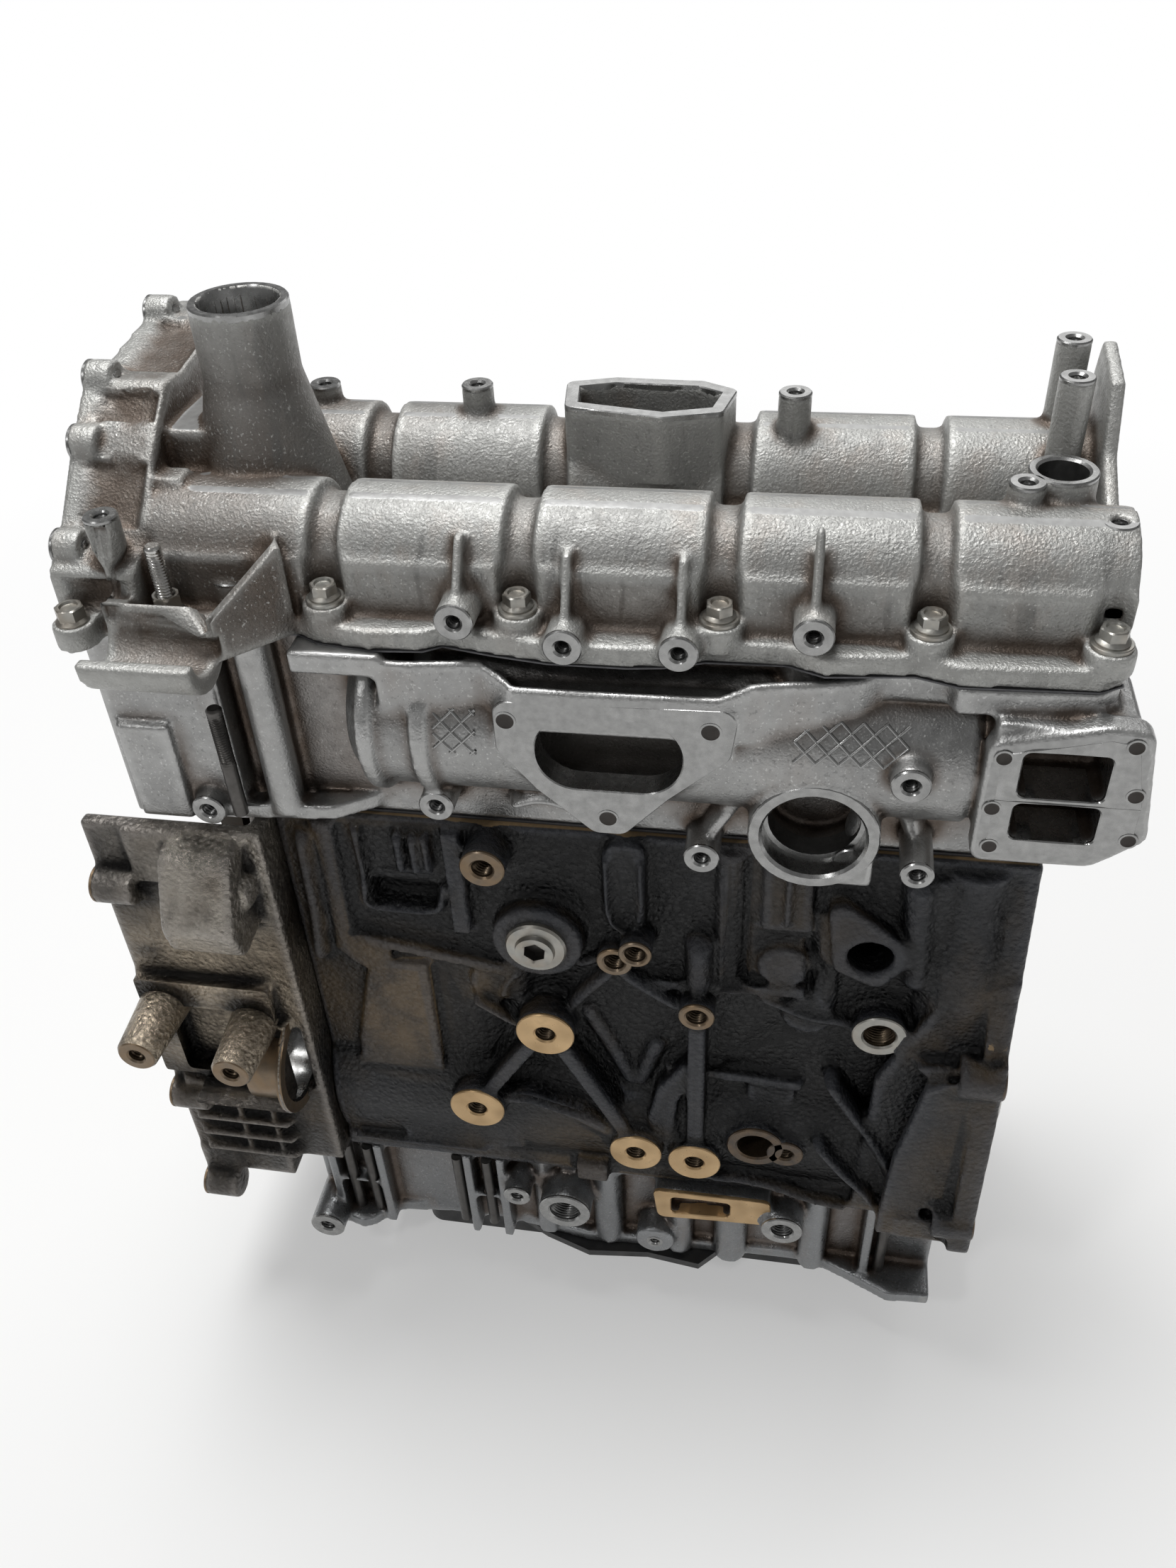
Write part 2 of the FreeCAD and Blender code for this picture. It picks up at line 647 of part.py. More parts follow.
def valves():
    for side, name in ((-1, "intake_valves"), (1, "exhaust_valves")):
        for step, x in enumerate(cylinders):
            pair = group(valve(x - valve_spread, side), valve(x + valve_spread, side))
            piece(f"{name}_{step + 1}", pair)


def valve_springs():
    """Eight-sided sleeves that hold the room of the valve springs."""
    sleeves = []
    spring_foot = as_size(0) - (cam_rise + head_height - chamber_floor) / cosine(valve_angle) + 2
    spring_length = as_size(0) - spring_foot - base_circle - valve_lift - 18.3
    for x in cylinders:
        for side in (-1, 1):
            for near in (-1, 1):
                outside = hexagon("Z", (0, 0, spring_foot), spring_length, 10, 8)
                inside = hexagon("Z", (0, 0, spring_foot), spring_length, 8, 8)
                sleeves.append(lean(cut(outside, inside), x + valve_spread * near, side))
    piece("valve_springs", group(*sleeves))


def head_gasket():
    plate = box(block_left + 2, 200, -70, 70, deck_z, deck_z + gasket)
    holes = [rod("Z", (x, 0, deck_z - 1), gasket + 2, bore / 2 + 0.5) for x in cylinders]
    piece("head_gasket", cut(plate, *holes))


def head_bolts():
    heads = []
    for x in bearings:
        for side in (-1, 1):
            heads.append(hexagon("Z", (x + 3, 45 * side, head_z + chamber_floor), 10, 7.5))
    piece("head_bolts", group(*heads))


def exhaust_studs():
    studs = []
    for x in cylinders:
        for side in (-1, 1):
            studs.append(rod("Y", (x + 22 * side, head_half_width + 6, head_z + 48), 26, 4))
    piece("exhaust_studs", group(*studs))


# Cam carrier
CARRIER_EDGE = [(-222, -92), (-194, -92), (-186, -82), (-150, -82), (-139, -88), (-114, -92), (-88, -90), (-80, -85), (-56, -90)]
CARRIER_EDGE += [(-30, -94), (6, -94), (22, -92), (40, -86), (75, -85), (92, -92), (130, -88), (148, -94)]
CARRIER_EDGE += [(206, -92), (216, -86), (218, 80), (-222, 80)]


def cam_carrier():
    floor = head_top + as_size(0.8)
    flange = prism("XY", floor, 10, CARRIER_EDGE)
    base = box(-222, 216, -72, 78, floor, head_top + 18)
    valley = box(-222, 216, -30, 30, head_top + 12, head_top + 24)
    solids = [flange, base, valley]
    tunnels = {-1: [], 1: []}
    holes = []
    gaps = [-222] + cylinders + [216]
    for side in (-1, 1):
        y = cam_offset * side
        for first, last in zip(gaps[:-1], gaps[1:]):
            start = first if first is gaps[0] else first + 7
            end = last if last is gaps[-1] else last - 7
            length = as_size(end) - start
            tunnels[side].append(rod("X", (start, y, cam_z), length, tunnel_radius))
            skirt = [(y + (tunnel_radius + 1) * side, floor), (y + (tunnel_radius + 1) * side, cam_z + 10)]
            skirt += [(y + (tunnel_radius - 4) * side, cam_z + 14), (y - 20 * side, cam_z + 8), (y - 20 * side, floor)]
            tunnels[side].append(prism("YZ", start, length, skirt))
            holes.append(rod("X", (start + 1.5, y, cam_z), length - 3, tunnel_radius - tunnel_wall))
            reach = tunnel_radius - tunnel_wall
            holes.append(box(start + 1.5, start + length - 1.5, y - reach + 3, y + reach - 3, floor - 1, cam_z))
        for x in cylinders:
            tunnels[side].append(rod("X", (x - 8, y, cam_z), 16, tunnel_radius - 6))
            tunnels[side].append(box(x - 8, x + 8, y - 26, y + 26, floor, cam_z))
        holes.append(rod("X", (-226, y, cam_z), 436, journal_radius + running_gap))
    for part, hole in carrier_fittings(floor):
        solids += part
        holes += hole
    below = box(-230, 220, -90, 90, head_top - 12, floor)
    shell = fuse(*solids)
    for row in tunnels.values():
        shell = fuse(shell, cut(fuse(*row), below))
    return piece("cam_carrier", cut(shell, *holes))


def carrier_screw_places():
    """Plan positions of the screws along the carrier's front edge."""
    return [(x, -78) for x in cylinders] + [(208, -82)]


def carrier_fittings(floor):
    """Tower, filler neck, rear opening, cradle and the upright and front bosses."""
    base = as_size(floor)
    skyline = [(-92, base), (-90, head_top + 33), (-76, head_top + 40), (-40, head_top + 75), (-16, head_top + 94)]
    skyline += [(2, head_top + 92), (62, head_top + 99), (case_rear, head_top + 93), (case_rear, base)]
    inside = [(-86, base - 1), (-84, head_top + 29), (-73, head_top + 34), (-37, head_top + 68), (-12, head_top + 86)]
    inside += [(3, head_top + 84), (61, head_top + 91), (case_rear - 6, head_top + 86), (case_rear - 6, base - 1)]
    tower = prism("YZ", tower_left, tower_depth, skyline)
    yield [tower], [prism("YZ", tower_left - 1, tower_depth - wall, inside)]
    for side in (-1, 1):
        yield [], [rod("X", (tower_left + 10, cam_offset * side, cam_z), 44, tunnel_radius - tunnel_wall)]
    for y, rise in ((-76, 38), (-38, 72), (-10, 92), (62, 98), (90, 60), (90, 14)):
        lug = rod("X", (tower_left, y, head_top + rise), 14, 9)
        yield [lug], [rod("X", (tower_left - 1, y, head_top + rise), 16, 3.5)]
    neck_foot = taper("Z", (neck_x, neck_y, head_top + 30), 66, 38, neck_radius)
    neck = rod("Z", (neck_x, neck_y, head_top + 90), neck_height - 90, neck_radius)
    bridge = box(tower_left + tower_depth - 3, neck_x, neck_y - 22, neck_y + 22, head_top + 24, head_top + 76)
    yield [neck_foot, neck, bridge], [rod("Z", (neck_x, neck_y, head_top + 34), neck_height, neck_bore)]
    mouth = [(-38, 46), (-18, 52), (24, 50), (38, 42), (34, 20), (9, 13), (-35, 22)]
    yield [prism("XY", cam_z + 10, 35, mouth, 4)], [prism("XY", cam_z + 4, 44, mouth, -3)]
    uprights = [(-87, 44, 72), (-169, 50, 68), (70, 34, 76), (187, -21, 67), (171, -34, 67)]
    uprights += [(208, -49, 58), (193, 20, 92), (194, 50, 98)]
    for x, y, rise in uprights:
        radius = 15 if x == 187 else 8
        hole = 11 if x == 187 else 3.5
        yield [rod("Z", (x, y, head_top + 16), rise - 16, radius)], [rod("Z", (x, y, head_top + rise - 20), 22, hole)]
    gusset = [(-62, head_top + 24), (10, head_top + 60), (24, head_top + 88), (60, head_top + 94), (76, head_top + 50), (78, base)]
    yield [prism("YZ", 208, 7, gusset + [(-62, base)])], []
    for x, rise in ((-70, 21), (-22, 11), (29, 11), (86, 23)):
        yield front_boss(x, head_top + rise, -97, -72, 9, 3.6, 18)
    for x, low, high in ((-70, 28, 52), (-22, 16, 46), (29, 16, 46), (86, 30, 62)):
        fin = [(-92, head_top + low), (-70, head_top + low), (-70, head_top + high), (-76, head_top + high)]
        yield [prism("YZ", x - 2, 4, fin)], []
    for x, y in carrier_screw_places():
        yield [rod("Z", (x, y, head_top + 6), 12, 11)], [rod("Z", (x, y, head_top + 18), 40, 9.4)]
    cradle = [rod("X", (-233, cradle_y, head_top + 12), 54, 20)]
    cradle.append(prism("XY", head_top + 2, 46, [(-190, -106), (-182, -116), (-149, -84), (-157, -72)]))
    cradle.append(box(-233, -222, cradle_y, -72, head_top + 1, head_top + 24))
    cradle.append(box(-233, -179, cradle_y, -72, head_top + 1, head_top + 8))
    scoop = rod("X", (-236, cradle_y, head_top + 14), 60, 13)
    open_top = box(-236, -178, cradle_y - 21, cradle_y + 13, head_top + 13, head_top + 60)
    yield [cut(fuse(*cradle), scoop, open_top)], []
    ring = rod("Z", (-182, -68, head_top + 4), 20, 12)
    yield [ring], [rod("Z", (-182, -68, head_top + 6), 20, 8)]
    yield [rod("Z", (-231, -84, head_top + 2), 34, 8)], [rod("Z", (-231, -84, head_top + 20), 18, 3.5)]
    yield [rod("Z", (-251, -99, floor), 12, 10), box(-261, -241, -99, -88, floor, head_top + 12.8)], []


def carrier_hardware():
    """Screws, stud and nut that hold the carrier and the bracket."""
    screws = []
    for x, y in carrier_screw_places():
        washer = rod("Z", (x, y, head_top + 18), 2, 9)
        screws.append(fuse(washer, hexagon("Z", (x, y, head_top + 20), 7, 6.5)))
    screws.append(hexagon("Z", (-251, -99, head_top + 12.8), 8, 7))
    piece("cam_carrier_screws", group(*screws))
    piece("bracket_stud", rod("Z", (-209, -86, head_top + 10.8), 36, 4))
    seat = (-209, -86, head_top + 10.8)
    blank = fuse(rod("Z", seat, 3, 8), hexagon("Z", seat, 11, 7))
    nut = cut(blank, rod("Z", seat, 11, 4 + running_gap))
    piece("bracket_nut", nut)
    piece("long_stud", rod("Z", (-196, -94, head_z + 12), 66, 4))


def carrier_gasket():
    sheet_metal = prism("XY", head_top, 0.8, CARRIER_EDGE)
    window = box(-186, 204, -62, 62, head_top - 1, head_top + 2)
    piece("cam_carrier_gasket", cut(sheet_metal, window))


# Timing case
def timing_case():
    left = case_left
    right = block_left
    half = 96
    low = bed_z + 66
    solids = [
        box(left, right, -half, 80, low, deck_z),
        prism("YZ", -240, 40, [(-90, deck_z - 12), (-106, deck_z - 14), (-119, deck_z - 44), (-116, deck_z - 56), (-92, deck_z - 52)], 10),
        box(-266, -232, -100, -90, deck_z - 38, deck_z),
        rod("X", (-262, -92, bed_z + 192), 62, 36),
        box(-288, -206, -128, -90, bed_z + 240, bed_z + 258),
        box(-288, -206, -120, -90, bed_z + 176, bed_z + 246),
    ]
    holes = [
        box(left - 1, right - wall, 8 - half, 80 - wall, low + 9, deck_z + 1),
        box(-227, right + 1, -half - 1, 81, low - 1, block_z + 1),
        rod("X", (-226, -92, bed_z + 192), 30, 28),
        rod("X", (right - 12, 0, crank_z), 14, main_radius + 1),
        box(-272, -222, -130, -92, bed_z + 180, bed_z + 238),
    ]
    for x, z in ((-275, 235), (-220, 228)):
        solids.append(rod("Y", (x, -140, bed_z + z), 60, 11))
        holes.append(rod("Y", (x, -141, bed_z + z), 30, 5))
    for y, z in ((-98, 55), (-98, 150), (-98, 330), (82, 100), (82, 240), (82, 350)):
        solids.append(rod("X", (left, y, bed_z + z), 24, 11))
        holes.append(rod("X", (left - 1, y, bed_z + z), 18, 4.5))
    solids.append(box(left, left + 24, -98, -90, bed_z + 55, bed_z + 90))
    return piece("timing_case", cut(fuse(*solids), *holes))


def loop_outline(wheels, spread, level, depth):
    """The closed outline of a chain round two wheels, drawn by their radii and centres."""
    (low_y, low_z, low_radius), (high_y, high_z, high_radius) = wheels
    swell = high_radius - low_radius
    bend = [(low_y, low_z)]
    for step in range(13):
        angle = math.radians(15 * step)
        bend.append((high_y + swell * math.cos(angle), high_z + swell * math.sin(angle)))
    return prism("YZ", level - depth / 2, depth, bend, low_radius + spread)


def timing_chains():
    """The long chain from the crankshaft and the short one between the camshafts."""
    wheels = ((0, crank_z, cam_sprocket_radius / 2), (cam_offset, cam_z, cam_sprocket_radius))
    outer = loop_outline(wheels, seat_gap + 5, chain_x, chain_width)
    inner = loop_outline(wheels, seat_gap, chain_x, chain_width + 2)
    piece("timing_chain", cut(outer, inner))
    loops = []
    for grow, depth in ((link_radius + seat_gap + 4, chain_width - 2), (link_radius + seat_gap, chain_width)):
        ends = [(-cam_offset, cam_z - 0.1), (cam_offset, cam_z - 0.1), (cam_offset, cam_z + 0.1), (-cam_offset, cam_z + 0.1)]
        loops.append(prism("YZ", link_x - depth / 2, depth, ends, grow))
    piece("cam_link_chain", cut(*loops))


def chain_guides():
    """The fixed rail on the tight side, the sprung arm on the slack side and their pins."""
    tight = [(-27, crank_z + 60), (-21, crank_z + 60), (-3.4, cam_z - 65), (-9.5, cam_z - 65)]
    holes = [rod("X", (chain_x - 8, y, z), 30, 2.5) for y, z in ((-19.8, crank_z + 120), (-10.3, cam_z - 120))]
    piece("chain_guide", cut(prism("YZ", chain_x - 7, 14, tight, 1.5), *holes))
    slack = [(35.4, crank_z + 60), (41, crank_z + 60), (67, cam_z - 160), (69, cam_z - 150), (63.6, cam_z - 150)]
    hole = rod("X", (chain_x - 8, 65.6, cam_z - 154), 30, 2.5 + running_gap)
    piece("tensioner_arm", cut(prism("YZ", chain_x - 7, 14, slack, 1.8), hole))
    reach = block_left - wall - chain_x + 8
    pins = [rod("X", (chain_x - 8, -19.8, crank_z + 120), reach, 2.5), rod("X", (chain_x - 8, 65.6, cam_z - 154), reach, 2.5)]
    pins.append(rod("X", (chain_x - 8, -10.3, cam_z - 120), 47, 2.5))
    piece("guide_pins", group(*pins))
    barrel = rod("Y", (chain_x, 50, crank_z + 72), 22, 7)
    piece("chain_tensioner", barrel)


# Crankshaft, rods and pistons
def crankshaft():
    """Five journals and four throws, drawn with the outer pins up."""
    length = cylinder_pitch * 4 + 36
    shaft = []
    for x in bearings:
        half = cylinder_pitch / 2 - rod_width / 2 - crank_web - 0.5
        shaft.append(rod("X", (x - half, 0, 0), half * 2, main_radius))
    for step, x in enumerate(cylinders):
        up = 1 if step in (0, 3) else -1
        pin_z = throw * up
        near = rod_width / 2 + 0.5
        shaft.append(rod("X", (x - near, 0, pin_z), near * 2, pin_radius))
        for start in (x - near - crank_web, x + near):
            shaft.append(crank_cheek(start, up))
    nose_end = chain_x - 30
    shaft.append(rod("X", (nose_end, 0, 0), 90, nose_radius))
    shaft.append(rod("X", (bearings[4] + 10, 0, 0), 24, main_radius))
    shaft.append(rod("X", (bearings[4] + 26, 0, 0), 16, 38))
    bolt_circle = []
    for step in range(6):
        angle = math.radians(60 * step)
        spot = (bearings[4] + 14, 25 * math.cos(angle), 25 * math.sin(angle))
        bolt_circle.append(rod("X", spot, 30, 5))
    bolt_circle.append(rod("X", (bearings[4] + 14, 0, 0), 30, 12))
    bolt_circle.append(rod("X", (nose_end - 1, 0, 0), 30, 6))
    crank = cut(fuse(*shaft), *bolt_circle)
    turn_crank(crank)
    return piece("crankshaft", crank)


def crank_cheek(start, up):
    """One web: a round shoulder at the pin, a flat bridge and a counterweight sector."""
    shoulder = rod("X", (start, 0, throw * up), crank_web, pin_radius + 8)
    bridge = box(start, start + crank_web, -30, 30, -34, 34)
    sector = rod("X", (start, 0, 0), crank_web, counterweight_radius)
    half = box(start - 1, start + crank_web + 1, -70, 70, -70, -6)
    if up < 0:
        half = box(start - 1, start + crank_web + 1, -70, 70, 6, 70)
    return fuse(shoulder, bridge, common(sector, half))


def turn_crank(thing):
    """Set a crank piece to its rest angle before top dead centre."""
    thing.Placement.Rotation = FreeCAD.Rotation(Vector(1, 0, 0), -5)
    thing.setExpression("Placement.Rotation.Angle", f"(0 - {crank_lead.text}) * 1 deg")
    thing.Placement.Rotation.Axis = Vector(1, 0, 0)
    return put(thing, 0, 0, crank_z)


def sine(angle):
    return Size(math.sin(math.radians(angle.number)), f"sin({angle.text} * 1 deg)")


def arcsine(share):
    return Size(math.degrees(math.asin(share.number)), f"(asin({share.text}) / 1 deg)")


def con_rods():
    """Each rod leans from its crank pin to the bore axis at the rest angle."""
    slant = arcsine(sine(crank_lead) * throw / rod_length)
    for step, x in enumerate(cylinders):
        side = 1 if step in (0, 3) else -1
        big = rod("X", (-rod_width / 2, 0, 0), rod_width, 33)
        ears = box(-rod_width / 2, rod_width / 2, -35, 35, -12, 12)
        shank = [(-17, 20), (17, 20), (10, rod_length - 12), (-10, rod_length - 12)]
        beam = prism("YZ", -8, 16, shank)
        small = rod("X", (-rod_width / 2 + 1, 0, rod_length), rod_width - 2, wrist_radius + 7)
        web = [(-9, 40), (9, 40), (5, rod_length - 24), (-5, rod_length - 24)]
        holes = [rod("X", (-20, 0, 0), 40, pin_radius + running_gap)]
        holes.append(rod("X", (-20, 0, rod_length), 40, wrist_radius + running_gap))
        holes.append(prism("YZ", -9, 5, web))
        holes.append(prism("YZ", 4, 5, web))
        whole = cut(fuse(big, ears, beam, small), *holes)
        whole.Placement.Rotation = FreeCAD.Rotation(Vector(1, 0, 0), 5)
        whole.setExpression("Placement.Rotation.Angle", f"({(slant * side).text}) * 1 deg")
        whole.Placement.Rotation.Axis = Vector(1, 0, 0)
        place_y = sine(crank_lead) * throw * side
        place_z = crank_z + cosine(crank_lead) * throw * side
        put(whole, x, place_y, place_z)
        piece(f"con_rod_{step + 1}", whole)


def wrist_height(side):
    """Height of the wrist pin at the rest angle."""
    slant = arcsine(sine(crank_lead) * throw / rod_length)
    return crank_z + cosine(crank_lead) * throw * side + cosine(slant) * rod_length


def pistons():
    """Crown with its three rings in place, skirt and pin bosses, and the wrist pin."""
    radius = bore / 2 - piston_gap
    for step, x in enumerate(cylinders):
        side = 1 if step in (0, 3) else -1
        place_z = wrist_height(side)
        solids = [rod("Z", (0, 0, -24), compression_height + 24, radius - 0.4)]
        solids += [rod("Z", (0, 0, low), 2.6, radius + 0.05) for low in (33, 27, 21)]
        holes = [rod("Z", (0, 0, compression_height - 13), 14, 20)]
        holes.append(rod("Z", (0, 0, -25), 47, radius - 6))
        walls = [box(13.5, 31, -16, 16, -14, 22), box(-31, -13.5, -16, 16, -14, 22)]
        body = fuse(cut(fuse(*solids), *holes), *walls)
        body = cut(body, rod("X", (-50, 0, 0), 100, wrist_radius + running_gap))
        piece(f"piston_{step + 1}", put(body, x, 0, place_z))
        pin = tube("X", (-31, 0, 0), 62, wrist_radius, 7)
        piece(f"wrist_pin_{step + 1}", put(pin, x, 0, place_z))


# Camshafts and sprockets
def lobe(x, angle):
    """An egg-shaped cam made of a rounded triangle, turned to its own angle."""
    nose = base_circle - 9
    egg = prism("YZ", 0, 11, [(-6, -nose), (6, -nose), (0, base_circle + valve_lift - 9.5)], 9)
    egg.Placement.Rotation = FreeCAD.Rotation(Vector(1, 0, 0), angle)
    return put(egg, x - 5.5, 0, 0)


def camshafts():
    phases = {-1: (250, 340, 160, 70), 1: (110, 200, 20, 290)}
    for side, name in ((-1, "intake_camshaft"), (1, "exhaust_camshaft")):
        shaft = [rod("X", (chain_x - 9, 0, 0), 448, shaft_radius)]
        for x in cylinders:
            shaft.append(rod("X", (x - 8, 0, 0), 16, journal_radius))
        for x, angle in zip(cylinders, phases[side]):
            shaft.append(lobe(x - valve_spread, angle))
            shaft.append(lobe(x + valve_spread, angle))
        piece(name, put(fuse(*shaft), 0, cam_offset * side, cam_z))


def plane_of(body, role):
    """One of the origin planes of a body."""
    return [thing for thing in body.Origin.OriginFeatures if thing.Role == role][0]


def sprocket(name, teeth, radius, bore_radius, place):
    """A padded disc with one padded tooth repeated around it and a bored hub."""
    body = doc.addObject("PartDesign::Body", "Sprocket")
    disc = body.newObject("Sketcher::SketchObject", "Disc")
    disc.AttachmentSupport = (plane_of(body, "YZ_Plane"), "")
    disc.MapMode = "FlatFace"
    for step, edge in enumerate((radius - 4, as_size(bore_radius))):
        disc.addGeometry(Part.Circle(Vector(), Vector(0, 0, 1), edge.number))
        disc.addConstraint(Sketcher.Constraint("Coincident", step, 3, -1, 1))
        tie = disc.addConstraint(Sketcher.Constraint("Radius", step, edge.number))
        disc.setExpression(f"Constraints[{tie}]", edge.text)
    pad = body.newObject("PartDesign::Pad", "DiscPad")
    pad.Profile = disc
    pad.Midplane = True
    bind(pad, Length=chain_width - 2)
    shape = body.newObject("Sketcher::SketchObject", "Tooth")
    shape.AttachmentSupport = (plane_of(body, "YZ_Plane"), "")
    shape.MapMode = "FlatFace"
    half = math.pi * radius.number / teeth * 0.5
    corners = [(-half, radius - 5), (half, radius - 5), (half * 0.35, radius), (-half * 0.35, radius)]
    flat = [Vector(as_size(across).number, up.number, 0) for across, up in corners]
    for step in range(4):
        shape.addGeometry(Part.LineSegment(flat[step], flat[(step + 1) % 4]))
    for step in range(4):
        shape.addConstraint(Sketcher.Constraint("Coincident", step, 2, (step + 1) % 4, 1))
    for step, (across, up) in enumerate(corners):
        shape.addConstraint(Sketcher.Constraint("DistanceX", -1, 1, step, 1, float(across)))
        tie = shape.addConstraint(Sketcher.Constraint("DistanceY", -1, 1, step, 1, up.number))
        shape.setExpression(f"Constraints[{tie}]", up.text)
    tooth = body.newObject("PartDesign::Pad", "ToothPad")
    tooth.Profile = shape
    tooth.Midplane = True
    bind(tooth, Length=chain_width - 3)
    pattern = body.newObject("PartDesign::PolarPattern", "Teeth")
    pattern.Originals = [tooth]
    pattern.Axis = (shape, ["N_Axis"])
    pattern.Angle = 360
    pattern.Occurrences = teeth
    body.Tip = pattern
    return piece(name, put(body, *place))


def sprockets():
    sprocket("exhaust_cam_sprocket", 36, cam_sprocket_radius, shaft_radius, (chain_x, cam_offset, cam_z))
    sprocket("crank_sprocket", 18, cam_sprocket_radius / 2, nose_radius, (chain_x, 0, crank_z))
    for side, name in ((-1, "intake_link_sprocket"), (1, "exhaust_link_sprocket")):
        sprocket(name, 18, link_radius, shaft_radius, (link_x, cam_offset * side, cam_z))


cylinder_block()
block_plugs()
oil_gallery_plug()
main_caps()
main_shells()
plugs_and_seals()
bed_frame()
frame_bolts()
sump()
cylinder_head()
head_gasket()
head_bolts()
exhaust_studs()
valves()
valve_springs()
cam_carrier()
carrier_gasket()
carrier_hardware()
timing_case()
timing_chains()
chain_guides()
crankshaft()
con_rods()
pistons()
camshafts()
sprockets()


# Check and write the sub-parts
def write_pieces():
    """Stop at the first sub-part that failed, then write one file for each."""
    doc.recompute()
    for thing in doc.Objects:
        if "Invalid" in thing.State or "Error" in thing.State:
            raise RuntimeError(f"{thing.Name} {thing.Label} failed: {thing.State}")
    for thing in pieces:
        if thing.Shape.isNull() or not thing.Shape.isValid() or not thing.Shape.Solids:
            raise RuntimeError(f"{thing.Label} has no valid shape")
    os.makedirs("parts", exist_ok=True)
    for thing in pieces:
        thing.Shape.exportStep(f"parts/{thing.Label}.step")
        box_of = thing.Shape.BoundBox
        print(thing.Label, len(thing.Shape.Solids), round(thing.Shape.Volume), box_of)


write_pieces()
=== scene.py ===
"""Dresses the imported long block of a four-cylinder diesel engine: cast skins with foundry radii,
machined and threaded bosses, fasteners, chains and a plain studio."""
import json
import math

import bmesh
import bpy
import numpy as np
from bpy.props import FloatProperty, FloatVectorProperty, IntProperty, PointerProperty
from bpy.types import Operator, Panel, PropertyGroup
from mathutils import Matrix, Vector

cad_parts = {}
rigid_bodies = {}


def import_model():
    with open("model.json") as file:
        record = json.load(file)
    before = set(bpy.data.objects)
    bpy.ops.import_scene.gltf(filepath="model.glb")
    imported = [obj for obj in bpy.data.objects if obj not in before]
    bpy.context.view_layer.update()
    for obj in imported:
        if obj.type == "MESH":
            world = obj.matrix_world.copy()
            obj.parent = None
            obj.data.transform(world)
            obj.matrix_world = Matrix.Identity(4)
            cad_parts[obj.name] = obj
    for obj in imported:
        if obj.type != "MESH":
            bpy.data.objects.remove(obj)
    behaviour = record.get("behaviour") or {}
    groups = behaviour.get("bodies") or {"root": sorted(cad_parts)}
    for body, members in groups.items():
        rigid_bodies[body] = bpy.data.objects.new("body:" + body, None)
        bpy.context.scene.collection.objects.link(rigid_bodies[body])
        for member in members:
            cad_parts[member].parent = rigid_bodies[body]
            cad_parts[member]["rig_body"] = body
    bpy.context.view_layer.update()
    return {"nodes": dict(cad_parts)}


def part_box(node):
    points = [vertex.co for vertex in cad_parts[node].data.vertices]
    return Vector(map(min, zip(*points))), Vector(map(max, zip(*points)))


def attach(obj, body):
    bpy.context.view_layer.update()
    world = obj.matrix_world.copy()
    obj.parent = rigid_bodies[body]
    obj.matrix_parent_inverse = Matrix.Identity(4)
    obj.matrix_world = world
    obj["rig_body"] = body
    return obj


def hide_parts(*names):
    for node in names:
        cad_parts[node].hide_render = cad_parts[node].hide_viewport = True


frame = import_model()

bl_info = {
    "name": "Diesel long block",
    "version": (1, 0, 0),
    "blender": (4, 5, 0),
    "location": "View3D > Sidebar > Engine",
    "description": "Builds the cast, machined and bolted surfaces of a four-cylinder engine around its frame",
    "category": "Object",
}

MM = 0.001
UP = (0, 0, 1)
FRONT = (0, -1, 0)
TAU = 2 * math.pi


def node_box(name):
    """Lowest and highest corner of a solid, in millimetres."""
    low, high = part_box(name)
    return np.array(low) / MM, np.array(high) / MM


HEAD_LOW, HEAD_HIGH = node_box("cylinder_head")
GASKET_HIGH = node_box("head_gasket")[1]
DECK = GASKET_HIGH[2] - 1.5
HEAD_Z = DECK + 1.5
HEAD_TOP = HEAD_Z + 114
CAM_Z = HEAD_TOP + 27
BED = node_box("bed_frame")[0][2]
CYLINDERS = (-135, -45, 45, 135)
TUBES = ((-275, 235), (-220, 228))
BOSS = (-231, -84)
RIM_DEPTH = 2.5


# Sizes and colours
class EngineSizes(PropertyGroup):
    voxel: FloatProperty(name="Cast grid", description="Edge of the grid that a casting is resampled on",
                         default=0.0017, min=0.001, unit="LENGTH")
    rounding: IntProperty(name="Cast rounding", description="Rounds of relaxing that make the cast radii",
                          default=5, min=0)
    thread_pitch: FloatProperty(name="Thread pitch", description="Rise of one turn of a bored thread",
                                default=0.00175, unit="LENGTH")
    stud_pitch: FloatProperty(name="Stud pitch", description="Rise of one turn of a stud's thread",
                              default=0.0015, unit="LENGTH")
    chain_pitch: FloatProperty(name="Chain pitch", description="Distance from pin to pin of the timing chain",
                               default=0.008, unit="LENGTH")
    lattice_pitch: FloatProperty(name="Lattice pitch", default=0.01, unit="LENGTH",
                                 description="Distance between the grip ribs of the plenum")
    lens: FloatProperty(name="Lens", description="Focal length of the camera", default=29.97)


def colour(name, description, value):
    return FloatVectorProperty(name=name, description=description, subtype="COLOR", size=3,
                               min=0, max=1, default=value)


class EngineColours(PropertyGroup):
    carrier: colour("Carrier casting", "Sandy aluminium of the cam carrier", (0.31, 0.31, 0.298))
    head: colour("Head casting", "Silvery aluminium of the cylinder head", (0.32, 0.32, 0.315))
    bed: colour("Frame casting", "Aluminium of the lower frame", (0.21, 0.215, 0.22))
    iron: colour("Oiled iron", "Cast iron under dark oil", (0.010, 0.0105, 0.012))
    bronze: colour("Varnished face", "Machined iron under a brown film", (0.62, 0.43, 0.23))
    milled: colour("Milled aluminium", "Fresh machined faces", (0.33, 0.33, 0.325))
    zinc: colour("Zinc plate", "Screws, nuts and washers", (0.36, 0.355, 0.33))
    # Brown stain of the castings; the same tone is also the painted shade in their hollows and crevices
    stain_and_shade: colour("Stain", "Dried brown film in the crevices", (0.15, 0.105, 0.075))
    floor: colour("Floor", "Studio floor", (0.86, 0.86, 0.85))


def sizes():
    return bpy.context.scene.engine_sizes


